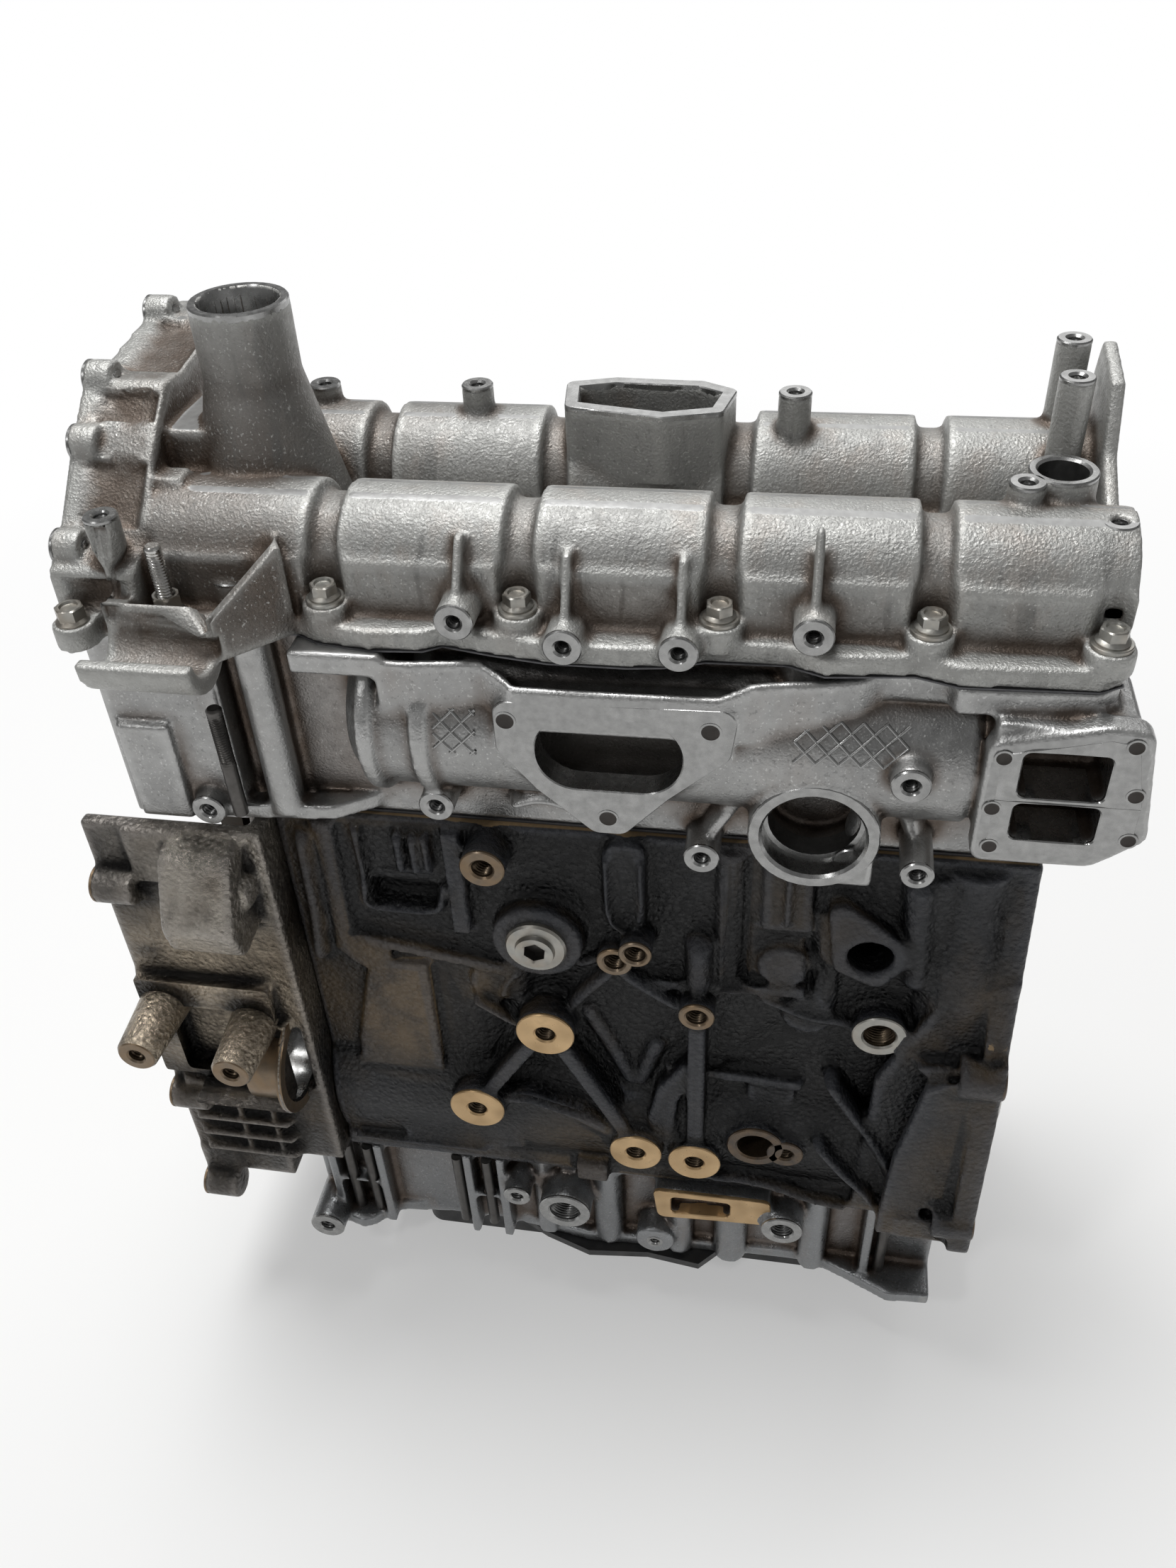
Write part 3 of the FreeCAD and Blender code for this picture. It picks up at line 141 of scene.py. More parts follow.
def colours():
    return bpy.context.scene.engine_colours


# Surfaces
SIDES = 36
THETA = np.linspace(0, TAU, SIDES, endpoint=False)


def six_sides(flat):
    """Ring of a hexagon: the half width across flats over the cosine of the angle to its middle."""
    return flat / np.cos((THETA + math.pi / 6) % (math.pi / 3) - math.pi / 6)


def axes_of(direction):
    """Two unit vectors across a direction, and the direction."""
    out = np.array(direction, float)
    out /= np.linalg.norm(out)
    across = np.cross(out, UP) if abs(out[2]) < 0.9 else np.array((1.0, 0, 0))
    across /= np.linalg.norm(across)
    return np.cross(across, out), across, out


class Skin:
    """Collects grids of points, in millimetres, into one mesh."""

    def __init__(self):
        self.points = []
        self.quads = []
        self.finishes = []
        self.count = 0

    def grid(self, points, finish=0, around=False, closed=False):
        """Join each point of a grid to its neighbours, and its last column or row to its first."""
        rows, columns = points.shape[:2]
        index = np.arange(rows * columns).reshape(rows, columns) + self.count
        if around:
            index = np.hstack([index, index[:, :1]])
        if closed:
            index = np.vstack([index, index[:1]])
        quads = np.stack([index[:-1, :-1], index[:-1, 1:], index[1:, 1:], index[1:, :-1]], -1)
        row_finish = np.broadcast_to(np.asarray(finish), (quads.shape[0],))
        self.finishes.append(np.repeat(row_finish, quads.shape[1]))
        self.quads.append(quads.reshape(-1, 4))
        self.points.append(points.reshape(-1, 3))
        self.count += rows * columns

    def lathe(self, centre, direction, rows, turn=0.0):
        """Turned shape. Each row is a radius or a ring of radii, its height along the direction and,
        where it isn't the first finish, the finish of the band that ends there."""
        a, b, out = axes_of(direction)
        radii = np.array([row[0] + np.zeros(SIDES) for row in rows])
        heights = np.array([row[1] for row in rows])
        angle = THETA + turn
        points = np.array(centre, float) + heights[:, None, None] * out
        points = points + (radii * np.cos(angle))[..., None] * a + (radii * np.sin(angle))[..., None] * b
        self.grid(points, [row[2] if len(row) > 2 else 0 for row in rows[1:]], around=True)

    def bar(self, start, end, *radii):
        """Closed round bar between two points, with its radii spread evenly along it."""
        start, end = np.array(start, float), np.array(end, float)
        length = np.linalg.norm(end - start)
        steps = np.linspace(0, length, max(2, len(radii)))
        radii = radii if len(radii) > 1 else radii * 2
        self.lathe(start, end - start, [(0, 0), *zip(radii, steps), (0, length)])

    def slab(self, plane, level, outline, depth):
        """Closed slab: an outline pushed back from the side that is looked at, capped by fans from
        its middle."""
        outline = np.array(outline, float)
        middle = np.repeat(outline.mean(0)[None], len(outline), 0)
        rows = [(middle, 0), (outline, 0), (outline, depth), (middle, depth)]
        self.grid(np.array([place(plane, level, flat, back) for flat, back in rows]), around=True)

    def ridge(self, line, width, crest, root):
        """Rib along a line of the front: its section is half an ellipse that stands out from the
        root plane to the crest plane, and its ends are rounded off."""
        line = np.array(line, float)
        gap = np.concatenate([[0], np.cumsum(np.linalg.norm(np.diff(line, axis=0), axis=1))])
        along = np.linspace(0, gap[-1], max(8, int(gap[-1] / 4)))
        spot = np.stack([np.interp(along, gap, line[:, 0]), np.interp(along, gap, line[:, 1])], 1)
        for step in range(2):
            spot[1:-1] = (spot[:-2] + 2 * spot[1:-1] + spot[2:]) / 4
        ahead = np.gradient(spot, axis=0)
        ahead /= np.linalg.norm(ahead, axis=1)[:, None]
        side = np.stack([-ahead[:, 1], ahead[:, 0]], 1)
        ends = np.minimum(1, np.sqrt(np.clip(np.minimum(along, along[-1] - along) / width, 0, 1)))
        ends[[0, -1]] = 0
        angle = np.linspace(0, TAU, 17)[:-1]
        across = np.cos(angle) * width
        out = np.sin(angle)
        level = np.where(out > 0, root + out * (crest - root), root - out * (root - crest) * 0.3)
        flat = spot[:, None] + side[:, None] * (across[None, :, None] * ends[:, None, None])
        deep = root + (level[None, :] - root) * ends[:, None]
        points = np.stack([flat[..., 0], deep, flat[..., 1]], -1)
        self.grid(points, around=True)

    def wall(self, line, thick, low, high):
        """Upright wall along a line of the plan: four corners a point, drawn in at both ends."""
        line = np.array(line, float)
        ahead = np.gradient(line, axis=0)
        ahead /= np.linalg.norm(ahead, axis=1)[:, None]
        side = np.stack([-ahead[:, 1], ahead[:, 0]], 1) * thick / 2
        corners = [(line + side, low), (line + side, high), (line - side, high), (line - side, low)]
        points = np.stack([np.column_stack([flat, np.broadcast_to(level, len(line))])
                           for flat, level in corners], 1)
        ends = [np.repeat(points[step].mean(0)[None, None], 4, 1) for step in (0, -1)]
        self.grid(np.concatenate([ends[0], points, ends[1]]), around=True)

    def merged(self, name="form"):
        """The grids as one mesh, with doubles merged and faces outwards."""
        mesh = bpy.data.meshes.new(name)
        mesh.from_pydata(np.concatenate(self.points) * MM, [], np.concatenate(self.quads))
        mesh.polygons.foreach_set("material_index", np.concatenate(self.finishes).astype(np.int32))
        work = bmesh.new()
        work.from_mesh(mesh)
        bmesh.ops.remove_doubles(work, verts=work.verts, dist=1e-6)
        bmesh.ops.dissolve_degenerate(work, edges=work.edges, dist=1e-7)
        bmesh.ops.recalc_face_normals(work, faces=work.faces)
        work.to_mesh(mesh)
        work.free()
        return mesh

    def build(self, name, body, looks, smooth=35, replaces=()):
        """Turn the grids into one object on a body, with a finish for each of the looks."""
        mesh = self.merged(name)
        mesh.set_sharp_from_angle(angle=math.radians(smooth))
        piece = bpy.data.objects.new(name, mesh)
        bpy.context.scene.collection.objects.link(piece)
        for look in looks:
            mesh.materials.append(finish(look))
        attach(piece, body)
        if replaces:
            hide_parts(*replaces)
        return piece


def screw_rows(radius, depth, start, length, pitch, look=0):
    """Rows of a thread: the radius falls by a triangle wave of height over pitch plus angle,
    and the wave fades in and out over the first and last turn."""
    steps = max(6, int(abs(length) / pitch * 4))
    share = np.linspace(0, 1, steps + 1)
    rows = []
    for part in share:
        height = start + length * part
        wave = np.abs(2 * ((height / pitch + THETA / TAU) % 1) - 1)
        fade = min(1.0, part * 6, (1 - part) * 6)
        rows.append((radius - depth * wave * fade, height, look))
    return rows


def bored_boss(skin, centre, direction, outer, hole, depth, look=0, threaded=True):
    """Machined face of a boss round its bored hole: a proud ring, a lead-in cone and a thread."""
    proud = 0.15
    bore = hole - 0.25
    rim = [(0, -depth - 0.8), (hole + 0.6, -depth - 0.8), (hole + 0.6, -1.6), (outer - 0.1, -1.6),
           (outer - 0.1, -0.5), (outer - 0.7, proud), (min(outer - 0.8, bore + 1.1), proud), (bore, -0.9)]
    rows = [(radius, height, look) for radius, height in rim]
    if threaded:
        rows += screw_rows(bore, 0.9, -0.9, -(depth - 2.4), sizes().thread_pitch / MM, 1)[1:]
    rows += [(bore, -depth + 1.4, 1), (bore - 0.8, -depth + 1.0, 1), (0, -depth, 1)]
    skin.lathe(centre, direction, rows)


def hex_head(skin, seat, flat, height, flange, turn):
    """Flanged hexagon head: six sides under a chamfer cone, with a shallow dish in its top."""
    sides = six_sides(flat)
    rows = [(0, 0), (flange, 0), (flange, 0.9), (flange - 0.5, 1.4), (np.maximum(sides, flat * 1.01), 2.2),
            (sides, height - 1.2), (np.minimum(sides, flat * 1.12), height - 0.5), (flat * 0.95, height),
            (flat * 0.72, height), (flat * 0.62, height - 1.1), (0, height - 1.3)]
    skin.lathe(seat, UP, rows, turn)


def stud(skin, foot, direction, radius, length, plain=0.0):
    """Stud with a plain shank, then a thread to its chamfered tip."""
    rows = [(0, 0), (radius - 0.15, 0)]
    if plain:
        rows.append((radius - 0.15, plain))
    rows += screw_rows(radius, 0.75, plain, length - plain - 1.2, sizes().stud_pitch / MM)
    skin.lathe(foot, direction, rows + [(radius - 1.0, length), (0, length)])


def raised(outline, level):
    """Outline of a side whose heights are counted from a level."""
    return [(x, level + rise) for x, rise in outline]


def rounded(points, radius, arc=7):
    """Outline at a distance from a polygon: an arc round each outer corner, one point at an inner."""
    corner = np.array(points, float)
    after = np.roll(corner, -1, 0)
    side = after - corner
    if np.sum(corner[:, 0] * after[:, 1] - after[:, 0] * corner[:, 1]) < 0:
        return rounded(corner[::-1], radius, arc)
    normal = np.stack([side[:, 1], -side[:, 0]], 1)
    normal /= np.linalg.norm(normal, axis=1)[:, None]
    before = np.roll(normal, 1, 0)
    made = []
    for spot, first, last in zip(corner, before, normal):
        turn = first[0] * last[1] - first[1] * last[0]
        share = np.linspace(0, 1, arc if turn * np.sign(radius) > 0 else 1) if abs(radius) > 0 else np.zeros(1)
        if len(share) == 1:
            middle = first + last
            made.append((spot + middle * radius / max(0.4, 1 + first @ last))[None])
            continue
        swing = math.asin(max(-1, min(1, turn)))
        angle = math.atan2(first[1], first[0]) + share * (swing if first @ last > 0 else math.pi - swing)
        made.append(spot + radius * np.stack([np.cos(angle), np.sin(angle)], 1))
    return np.concatenate(made)


def reach(outline, centre, angles):
    """How far an outline lies from a centre at each angle: the crossing of a ray with its sides."""
    ray = np.stack([np.cos(angles), np.sin(angles)], 1)
    start = outline - centre
    side = np.roll(start, -1, 0) - start
    cross = ray[:, None, 0] * side[None, :, 1] - ray[:, None, 1] * side[None, :, 0]
    cross = np.where(np.abs(cross) < 1e-9, 1e-9, cross)
    along = (start[None, :, 0] * side[None, :, 1] - start[None, :, 1] * side[None, :, 0]) / cross
    share = (start[None, :, 0] * ray[:, None, 1] - start[None, :, 1] * ray[:, None, 0]) / cross
    good = (along > 0) & (share >= -1e-6) & (share <= 1 + 1e-6)
    return np.where(good, along, 0).max(1)


def plate(skin, plane, level, outer, inner, centre, look, deep):
    """Machined plate between two outlines seen from a middle point, with its rims closed behind.
    The wall of the hole goes deep, away from the side that is looked at."""
    centre = np.array(centre, float)
    both = np.concatenate([outer, inner]) - centre
    angles = np.unique(np.round(np.arctan2(both[:, 1], both[:, 0]) % TAU, 5))
    spread = np.linspace(0, TAU, 48, endpoint=False)
    angles = np.unique(np.concatenate([angles, spread]))
    far = reach(outer, centre, angles)
    near = reach(inner, centre, angles)
    rows = [(far, RIM_DEPTH), (far, 0.5), (far - 0.5, 0), (near + 0.6, 0), (near, 0.6), (near, deep),
            (near + 0.8, deep), (near + 0.8, RIM_DEPTH)]
    points = []
    for radius, back in rows:
        flat = centre + radius[:, None] * np.stack([np.cos(angles), np.sin(angles)], 1)
        points.append(place(plane, level, flat, back))
    skin.grid(np.array(points), look, around=True, closed=True)


def place(plane, level, flat, back):
    """Points of a flat outline in space, set back from the side that is looked at: XZ is seen from
    in front and XY from above."""
    if plane == "XZ":
        return np.stack([flat[:, 0], np.full(len(flat), level + back), flat[:, 1]], 1)
    return np.stack([flat[:, 0], flat[:, 1], np.full(len(flat), level - back)], 1)


# Castings
def neighbours_mean(values, edges, degree):
    """Mean of each point's neighbours along the mesh's edges."""
    total = np.zeros_like(values)
    for axis in range(values.shape[1]):
        total[:, axis] = np.bincount(edges[:, 0], values[edges[:, 1], axis], len(values))
        total[:, axis] += np.bincount(edges[:, 1], values[edges[:, 0], axis], len(values))
    return total / degree[:, None]


def casting(node, name, finish, faces, triangles, forms=None, shape=None):
    """Cast skin of a solid and of the closed forms that grow out of it: their surface is resampled
    on a cubic grid and relaxed, so that each corner gets a radius. A shape function may then move
    the points. Three attributes follow: cavity, how far a point lies inside the mean of
    the surface round it, hollow, the same over a wider reach, and machined, one on the planes that a
    cutter has faced."""
    source = frame["nodes"][node]
    work = bmesh.new()
    work.from_mesh(source.data)
    bmesh.ops.remove_doubles(work, verts=work.verts, dist=1e-6)
    if forms is not None:
        work.from_mesh(forms.merged())
    mesh = bpy.data.meshes.new(name + "_rough")
    work.to_mesh(mesh)
    work.free()
    piece = bpy.data.objects.new(name, mesh)
    bpy.context.scene.collection.objects.link(piece)
    remesh = piece.modifiers.new("Grid", "REMESH")
    remesh.mode = "VOXEL"
    remesh.voxel_size = sizes().voxel
    relax = piece.modifiers.new("Radii", "SMOOTH")
    relax.factor = 0.5
    relax.iterations = sizes().rounding
    graph = bpy.context.evaluated_depsgraph_get()
    dense = len(piece.evaluated_get(graph).data.polygons) * 2
    thin = piece.modifiers.new("Thin", "DECIMATE")
    thin.ratio = min(1.0, triangles / dense)
    graph = bpy.context.evaluated_depsgraph_get()
    made = bpy.data.meshes.new_from_object(piece.evaluated_get(graph))
    piece.modifiers.clear()
    piece.data = made
    made.name = name
    made.materials.clear()
    made.materials.append(finish)
    made.shade_smooth()
    if shape is not None:
        points, normals = surface_arrays(made)
        made.vertices.foreach_set("co", (shape(points / MM, normals) * MM).ravel())
        made.update()
    mark_surface(made, faces)
    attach(piece, source["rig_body"])
    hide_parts(node)
    return piece


def surface_arrays(mesh):
    """Points and normals of a mesh as arrays."""
    points = np.zeros(len(mesh.vertices) * 3)
    mesh.vertices.foreach_get("co", points)
    normals = np.zeros_like(points)
    mesh.vertex_normals.foreach_get("vector", normals)
    return points.reshape(-1, 3), normals.reshape(-1, 3)


def mark_surface(mesh, faces):
    """Store the cavity, hollow and machined attributes of a casting."""
    count = len(mesh.vertices)
    points, normals = surface_arrays(mesh)
    edges = np.zeros(len(mesh.edges) * 2, np.int64)
    mesh.edges.foreach_get("vertices", edges)
    edges = edges.reshape(-1, 2)
    degree = np.maximum(1, np.bincount(edges.ravel(), minlength=count)).astype(float)
    relaxed = points
    for step in range(14):
        relaxed = neighbours_mean(relaxed, edges, degree)
    depth = np.einsum("ij,ij->i", relaxed - points, normals) / (2 * MM)
    depth = neighbours_mean(depth[:, None], edges, degree)[:, 0]
    for step in range(70):
        relaxed = neighbours_mean(relaxed, edges, degree)
    hollow = np.einsum("ij,ij->i", relaxed - points, normals) / (6 * MM)
    machined = np.zeros(count)
    for axis, level, sign in faces:
        near = np.abs(points[:, axis] - level * MM) < 0.45 * MM
        machined[near & (normals[:, axis] * sign > 0.96)] = 1
    machined = neighbours_mean(machined[:, None], edges, degree)[:, 0]
    for label, values in (("cavity", np.clip(depth, -1, 1)), ("hollow", np.clip(hollow, -1, 1)),
                          ("machined", machined)):
        stored = mesh.attributes.new(label, "FLOAT", "POINT")
        stored.data.foreach_set("value", values.astype(np.float32))


# Finishes
class Shade:
    """Short names for the nodes of one material."""

    def __init__(self, name):
        self.material = bpy.data.materials.new(name)
        self.material.use_nodes = True
        self.tree = self.material.node_tree
        self.shader = self.tree.nodes["Principled BSDF"]
        self.place = self.tree.nodes.new("ShaderNodeTexCoord").outputs["Object"]

    def link(self, value, socket):
        """Join an output to an input, or set the input to a plain value."""
        if isinstance(value, bpy.types.NodeSocket):
            self.tree.links.new(value, socket)
        elif isinstance(value, (tuple, list)) and len(value) == 3 and socket.type == "RGBA":
            socket.default_value = (*value, 1)
        else:
            socket.default_value = value

    def mapped(self, scale):
        """Place on the object, stretched along each axis."""
        node = self.tree.nodes.new("ShaderNodeMapping")
        self.link(self.place, node.inputs["Vector"])
        node.inputs["Scale"].default_value = scale
        return node.outputs["Vector"]

    def noise(self, scale, detail=4.0, rough=0.55, place=None):
        """Cloudy number round one half."""
        node = self.tree.nodes.new("ShaderNodeTexNoise")
        self.link(place or self.place, node.inputs["Vector"])
        node.inputs["Scale"].default_value = scale
        node.inputs["Detail"].default_value = detail
        node.inputs["Roughness"].default_value = rough
        return node.outputs["Fac"]

    def cells(self, scale):
        """Distance to the nearest of many scattered spots."""
        node = self.tree.nodes.new("ShaderNodeTexVoronoi")
        self.link(self.place, node.inputs["Vector"])
        node.inputs["Scale"].default_value = scale
        return node.outputs["Distance"]

    def facing(self, axis):
        """The part of the surface's own direction along an axis."""
        node = self.tree.nodes.new("ShaderNodeSeparateXYZ")
        self.link(self.tree.nodes.new("ShaderNodeNewGeometry").outputs["True Normal"], node.inputs[0])
        return node.outputs[axis]

    def near(self, spot, inner, outer):
        """One inside the inner distance of a spot, nought outside the outer one."""
        node = self.tree.nodes.new("ShaderNodeVectorMath")
        node.operation = "DISTANCE"
        self.link(self.place, node.inputs[0])
        node.inputs[1].default_value = [part * MM for part in spot]
        return self.span(node.outputs["Value"], inner, outer, 1.0, 0.0)

    def field(self, name):
        """A number that is stored on the mesh."""
        node = self.tree.nodes.new("ShaderNodeAttribute")
        node.attribute_name = name
        return node.outputs["Fac"]

    def span(self, value, low, high, to_low=0.0, to_high=1.0):
        """Stretch the range from low to high over another one."""
        node = self.tree.nodes.new("ShaderNodeMapRange")
        self.link(value, node.inputs["Value"])
        for label, number in (("From Min", low), ("From Max", high), ("To Min", to_low), ("To Max", to_high)):
            node.inputs[label].default_value = number
        return node.outputs["Result"]

    def times(self, first, second):
        """Product of two numbers."""
        node = self.tree.nodes.new("ShaderNodeMath")
        node.operation = "MULTIPLY"
        self.link(first, node.inputs[0])
        self.link(second, node.inputs[1])
        return node.outputs["Value"]

    def blend(self, share, first, second):
        """Colour between two, by the share of the second."""
        node = self.tree.nodes.new("ShaderNodeMix")
        node.data_type = "RGBA"
        self.link(share, node.inputs[0])
        self.link(first, node.inputs[6])
        self.link(second, node.inputs[7])
        return node.outputs[2]

    def mix_number(self, share, first, second):
        """Number between two, by the share of the second."""
        node = self.tree.nodes.new("ShaderNodeMix")
        self.link(share, node.inputs[0])
        self.link(first, node.inputs[2])
        self.link(second, node.inputs[3])
        return node.outputs[0]

    def bump(self, height, strength, distance, under=None):
        """Fine relief of a height, over another one if there is one."""
        node = self.tree.nodes.new("ShaderNodeBump")
        self.link(height, node.inputs["Height"])
        self.link(strength, node.inputs["Strength"])
        node.inputs["Distance"].default_value = distance
        if under is not None:
            self.link(under, node.inputs["Normal"])
        return node.outputs["Normal"]

    def set(self, **values):
        """Give the surface its values, and hand back the material."""
        for label, value in values.items():
            self.link(value, self.shader.inputs[label.replace("_", " ")])
        return self.material


def shaded(tone, factor):
    """Tone made darker or lighter by a factor."""
    return tuple(part * factor for part in tone)


def cast_alloy(name, base, face, grain, depth, stain_share, metal, rough, drips=0.0, spots=()):
    """Sand-cast aluminium: fine pitted skin, cloudy tone, brown stain patches, painted shade in the
    hollows and crevices, painted highlights on the convex edges, painted glints, and bright milled
    planes where the machined attribute says so."""
    s = Shade(name)
    stain_and_shade = tuple(colours().stain_and_shade)
    cloud = s.noise(14, 5)
    tone = s.blend(s.span(cloud, 0.35, 0.65), shaded(base, 0.82), shaded(base, 1.12))
    runs = s.noise(26, 6, 0.65, s.mapped((1, 1, 0.35)))
    patches = s.span(runs, 0.52, 0.72, 0, stain_share)
    tone = s.blend(patches, tone, shaded(stain_and_shade, 1.6))
    # Patches near the listed spots, stronger on faces turned towards +X: partly brown stain, partly painted
    # shade on the dark inner walls
    for spot, reach, share in spots:
        patch = s.times(s.near(spot, 0.5 * reach, reach), s.span(s.noise(22, 5), 0.3, 0.6, 0.6 * share, share))
        patch = s.times(patch, s.span(s.facing("X"), -0.1, 0.5, 0.7, 1.0))
        tone = s.blend(patch, tone, shaded(stain_and_shade, 0.5))
    if drips:
        streak = s.span(s.noise(95, 3, 0.5, s.mapped((1, 0.3, 0.14))), 0.56, 0.62, 0, drips)
        facing = s.times(s.span(s.facing("Y"), -0.3, -0.8), s.span(s.noise(18, 2), 0.42, 0.58))
        tone = s.blend(s.times(streak, facing), tone, shaded(base, 0.38))
    specks = s.span(s.noise(420, 2), 0.60, 0.70, 0, 0.45)
    tone = s.blend(specks, tone, shaded(base, 0.45))
    # Light specks: painted glints of the sandy skin
    painted_glints = s.span(s.noise(700, 2, 0.5, s.mapped((1.1, 1, 0.9))), 0.62, 0.70, 0, 0.6)
    tone = s.blend(painted_glints, tone, shaded(base, 1.9))
    # Painted shade: the stain tone darkens the points that lie deep in hollows and in crevices
    shade = s.span(s.field("hollow"), 0.0, 0.7, 0, 0.6)
    tone = s.blend(shade, tone, shaded(stain_and_shade, 0.9))
    hollow = s.span(s.field("cavity"), 0.04, 0.55, 0, 0.85)
    hollow = s.times(hollow, s.span(s.noise(60, 4), 0.3, 0.6, 0.45, 1.0))
    tone = s.blend(hollow, tone, shaded(stain_and_shade, 0.45))
    # Painted highlight: convex edges are made lighter
    painted_edge_highlight = s.span(s.field("cavity"), -0.45, -0.05, 0.55, 0)
    tone = s.blend(painted_edge_highlight, tone, shaded(base, 1.45))
    cut = s.span(s.field("machined"), 0.45, 0.6)
    milled = s.blend(s.span(s.noise(240, 3), 0.3, 0.7), shaded(face, 0.85), shaded(face, 1.1))
    tone = s.blend(cut, tone, milled)
    skin_rough = s.span(s.noise(160, 4), 0.3, 0.7, rough - 0.08, rough + 0.14)
    rough_out = s.mix_number(cut, skin_rough, 0.32)
    height = s.times(s.noise(grain, 3, 0.6), s.span(s.cells(grain * 0.55), 0, 0.6, 0.4, 1.0))
    strength = s.mix_number(cut, 0.85, 0.06)
    normal = s.bump(height, strength, depth)
    normal = s.bump(s.noise(70, 3), 0.25, 0.0009, normal)
    return s.set(Base_Color=tone, Metallic=metal, Roughness=rough_out, Normal=normal)


def oiled_iron(name, base, face, film_share, sheen, spots, metal=0.0):
    """Cast iron under dark oil: coarse glossy pits, a brown film on the open walls, painted highlights on the
    convex edges, painted shade in the hollows and corners, and varnished cut faces."""
    s = Shade(name)
    brown = shaded(face, 0.26)
    tone = s.blend(s.span(s.noise(11, 5), 0.35, 0.7), shaded(base, 0.6), shaded(base, 1.8))
    film = s.span(s.noise(9, 6, 0.62, s.mapped((1, 1, 0.7))), 0.46, 0.68, 0, film_share)
    open_wall = s.span(s.field("hollow"), -0.1, 0.3, 1.0, 0.1)
    tone = s.blend(s.times(film, open_wall), tone, brown)
    # Patches of a given tone round listed spots: brown film on the block, painted light on the timing case
    for spot, reach, share, film_and_light_tone in spots:
        broken = s.span(s.noise(30, 5), 0.3, 0.5, 0.3 * share, share)
        patch = s.times(s.near(spot, 0.45 * reach, reach), broken)
        tone = s.blend(patch, tone, film_and_light_tone)
    grime = s.span(s.noise(75, 5, 0.7), 0.5, 0.72, 0, 0.55)
    tone = s.blend(grime, tone, shaded(base, 0.35))
    # Painted highlight: convex edges are made lighter
    painted_edge_highlight = s.span(s.field("cavity"), -0.6, -0.1, 0.5, 0)
    tone = s.blend(painted_edge_highlight, tone, shaded(base, 7.0))
    # Painted shade: points deep in hollows and corners are made near black
    hollow = s.span(s.field("hollow"), 0.05, 0.55, 0, 0.9)
    tone = s.blend(hollow, tone, shaded(base, 0.18))
    corner = s.span(s.field("cavity"), 0.05, 0.5, 0, 0.85)
    tone = s.blend(corner, tone, shaded(base, 0.15))
    cut = s.span(s.field("machined"), 0.45, 0.6)
    varnish = s.blend(s.span(s.noise(500, 4), 0.3, 0.7), shaded(face, 0.34), shaded(face, 0.46))
    varnish = s.blend(s.span(s.noise(14, 5), 0.42, 0.66), varnish, shaded(face, 0.24))
    tone = s.blend(cut, tone, varnish)
    wet = s.noise(16, 5)
    rough = s.span(wet, 0.36, 0.6, sheen, sheen + 0.22)
    rough = s.mix_number(cut, rough, 0.34)
    height = s.times(s.noise(420, 4, 0.7), s.span(s.cells(300), 0, 0.7, 0.15, 1.0))
    strength = s.mix_number(cut, 1.0, 0.12)
    normal = s.bump(height, strength, 0.0013)
    normal = s.bump(s.noise(45, 4), 0.6, 0.003, normal)
    return s.set(Base_Color=tone, Metallic=metal, Roughness=rough, Normal=normal, Specular_IOR_Level=0.28)


FILM_TONE = (0.20, 0.12, 0.05)


def cut_metal(name, base, metal=0.95, rough=0.25, film=0.0):
    """Turned or milled metal: fine tool lines, small scratches and a broken film."""
    s = Shade(name)
    tone = s.blend(s.span(s.noise(180, 4), 0.3, 0.7), shaded(base, 0.82), shaded(base, 1.12))
    if film:
        tone = s.blend(s.span(s.noise(90, 5), 0.38, 0.66, 0, film), tone, FILM_TONE)
    lines = s.noise(900, 2, 0.5, s.mapped((1, 1, 0.08)))
    roughness = s.span(s.noise(300, 3), 0.3, 0.7, rough - 0.06, rough + 0.12)
    return s.set(Base_Color=tone, Metallic=metal, Roughness=roughness, Normal=s.bump(lines, 0.15, 0.0002))


def soft_black(name, base=(0.012, 0.012, 0.013), rough=0.4):
    """Painted or rubber black with dust in its grain."""
    s = Shade(name)
    tone = s.blend(s.span(s.noise(80, 5), 0.45, 0.75, 0, 0.4), base, (0.06, 0.058, 0.052))
    roughness = s.span(s.noise(120, 3), 0.3, 0.7, rough - 0.08, rough + 0.12)
    grain = s.bump(s.noise(900, 2), 0.2, 0.0002)
    return s.set(Base_Color=tone, Metallic=0.0, Roughness=roughness, Normal=grain)


# A brown stain deepened into painted shade: its middle in millimetres, its reach in metres and its strength
CARRIER_STAINS_AND_SHADE = (
    ((-204, -40, HEAD_TOP + 45), 0.062, 0.92), ((-212, 10, HEAD_TOP + 75), 0.055, 0.85),
    ((-190, -10, HEAD_TOP + 85), 0.06, 0.6), ((-165, -98, HEAD_TOP + 22), 0.055, 0.8),
    ((-165, 50, HEAD_TOP + 40), 0.075, 0.8))
FINISH = {}


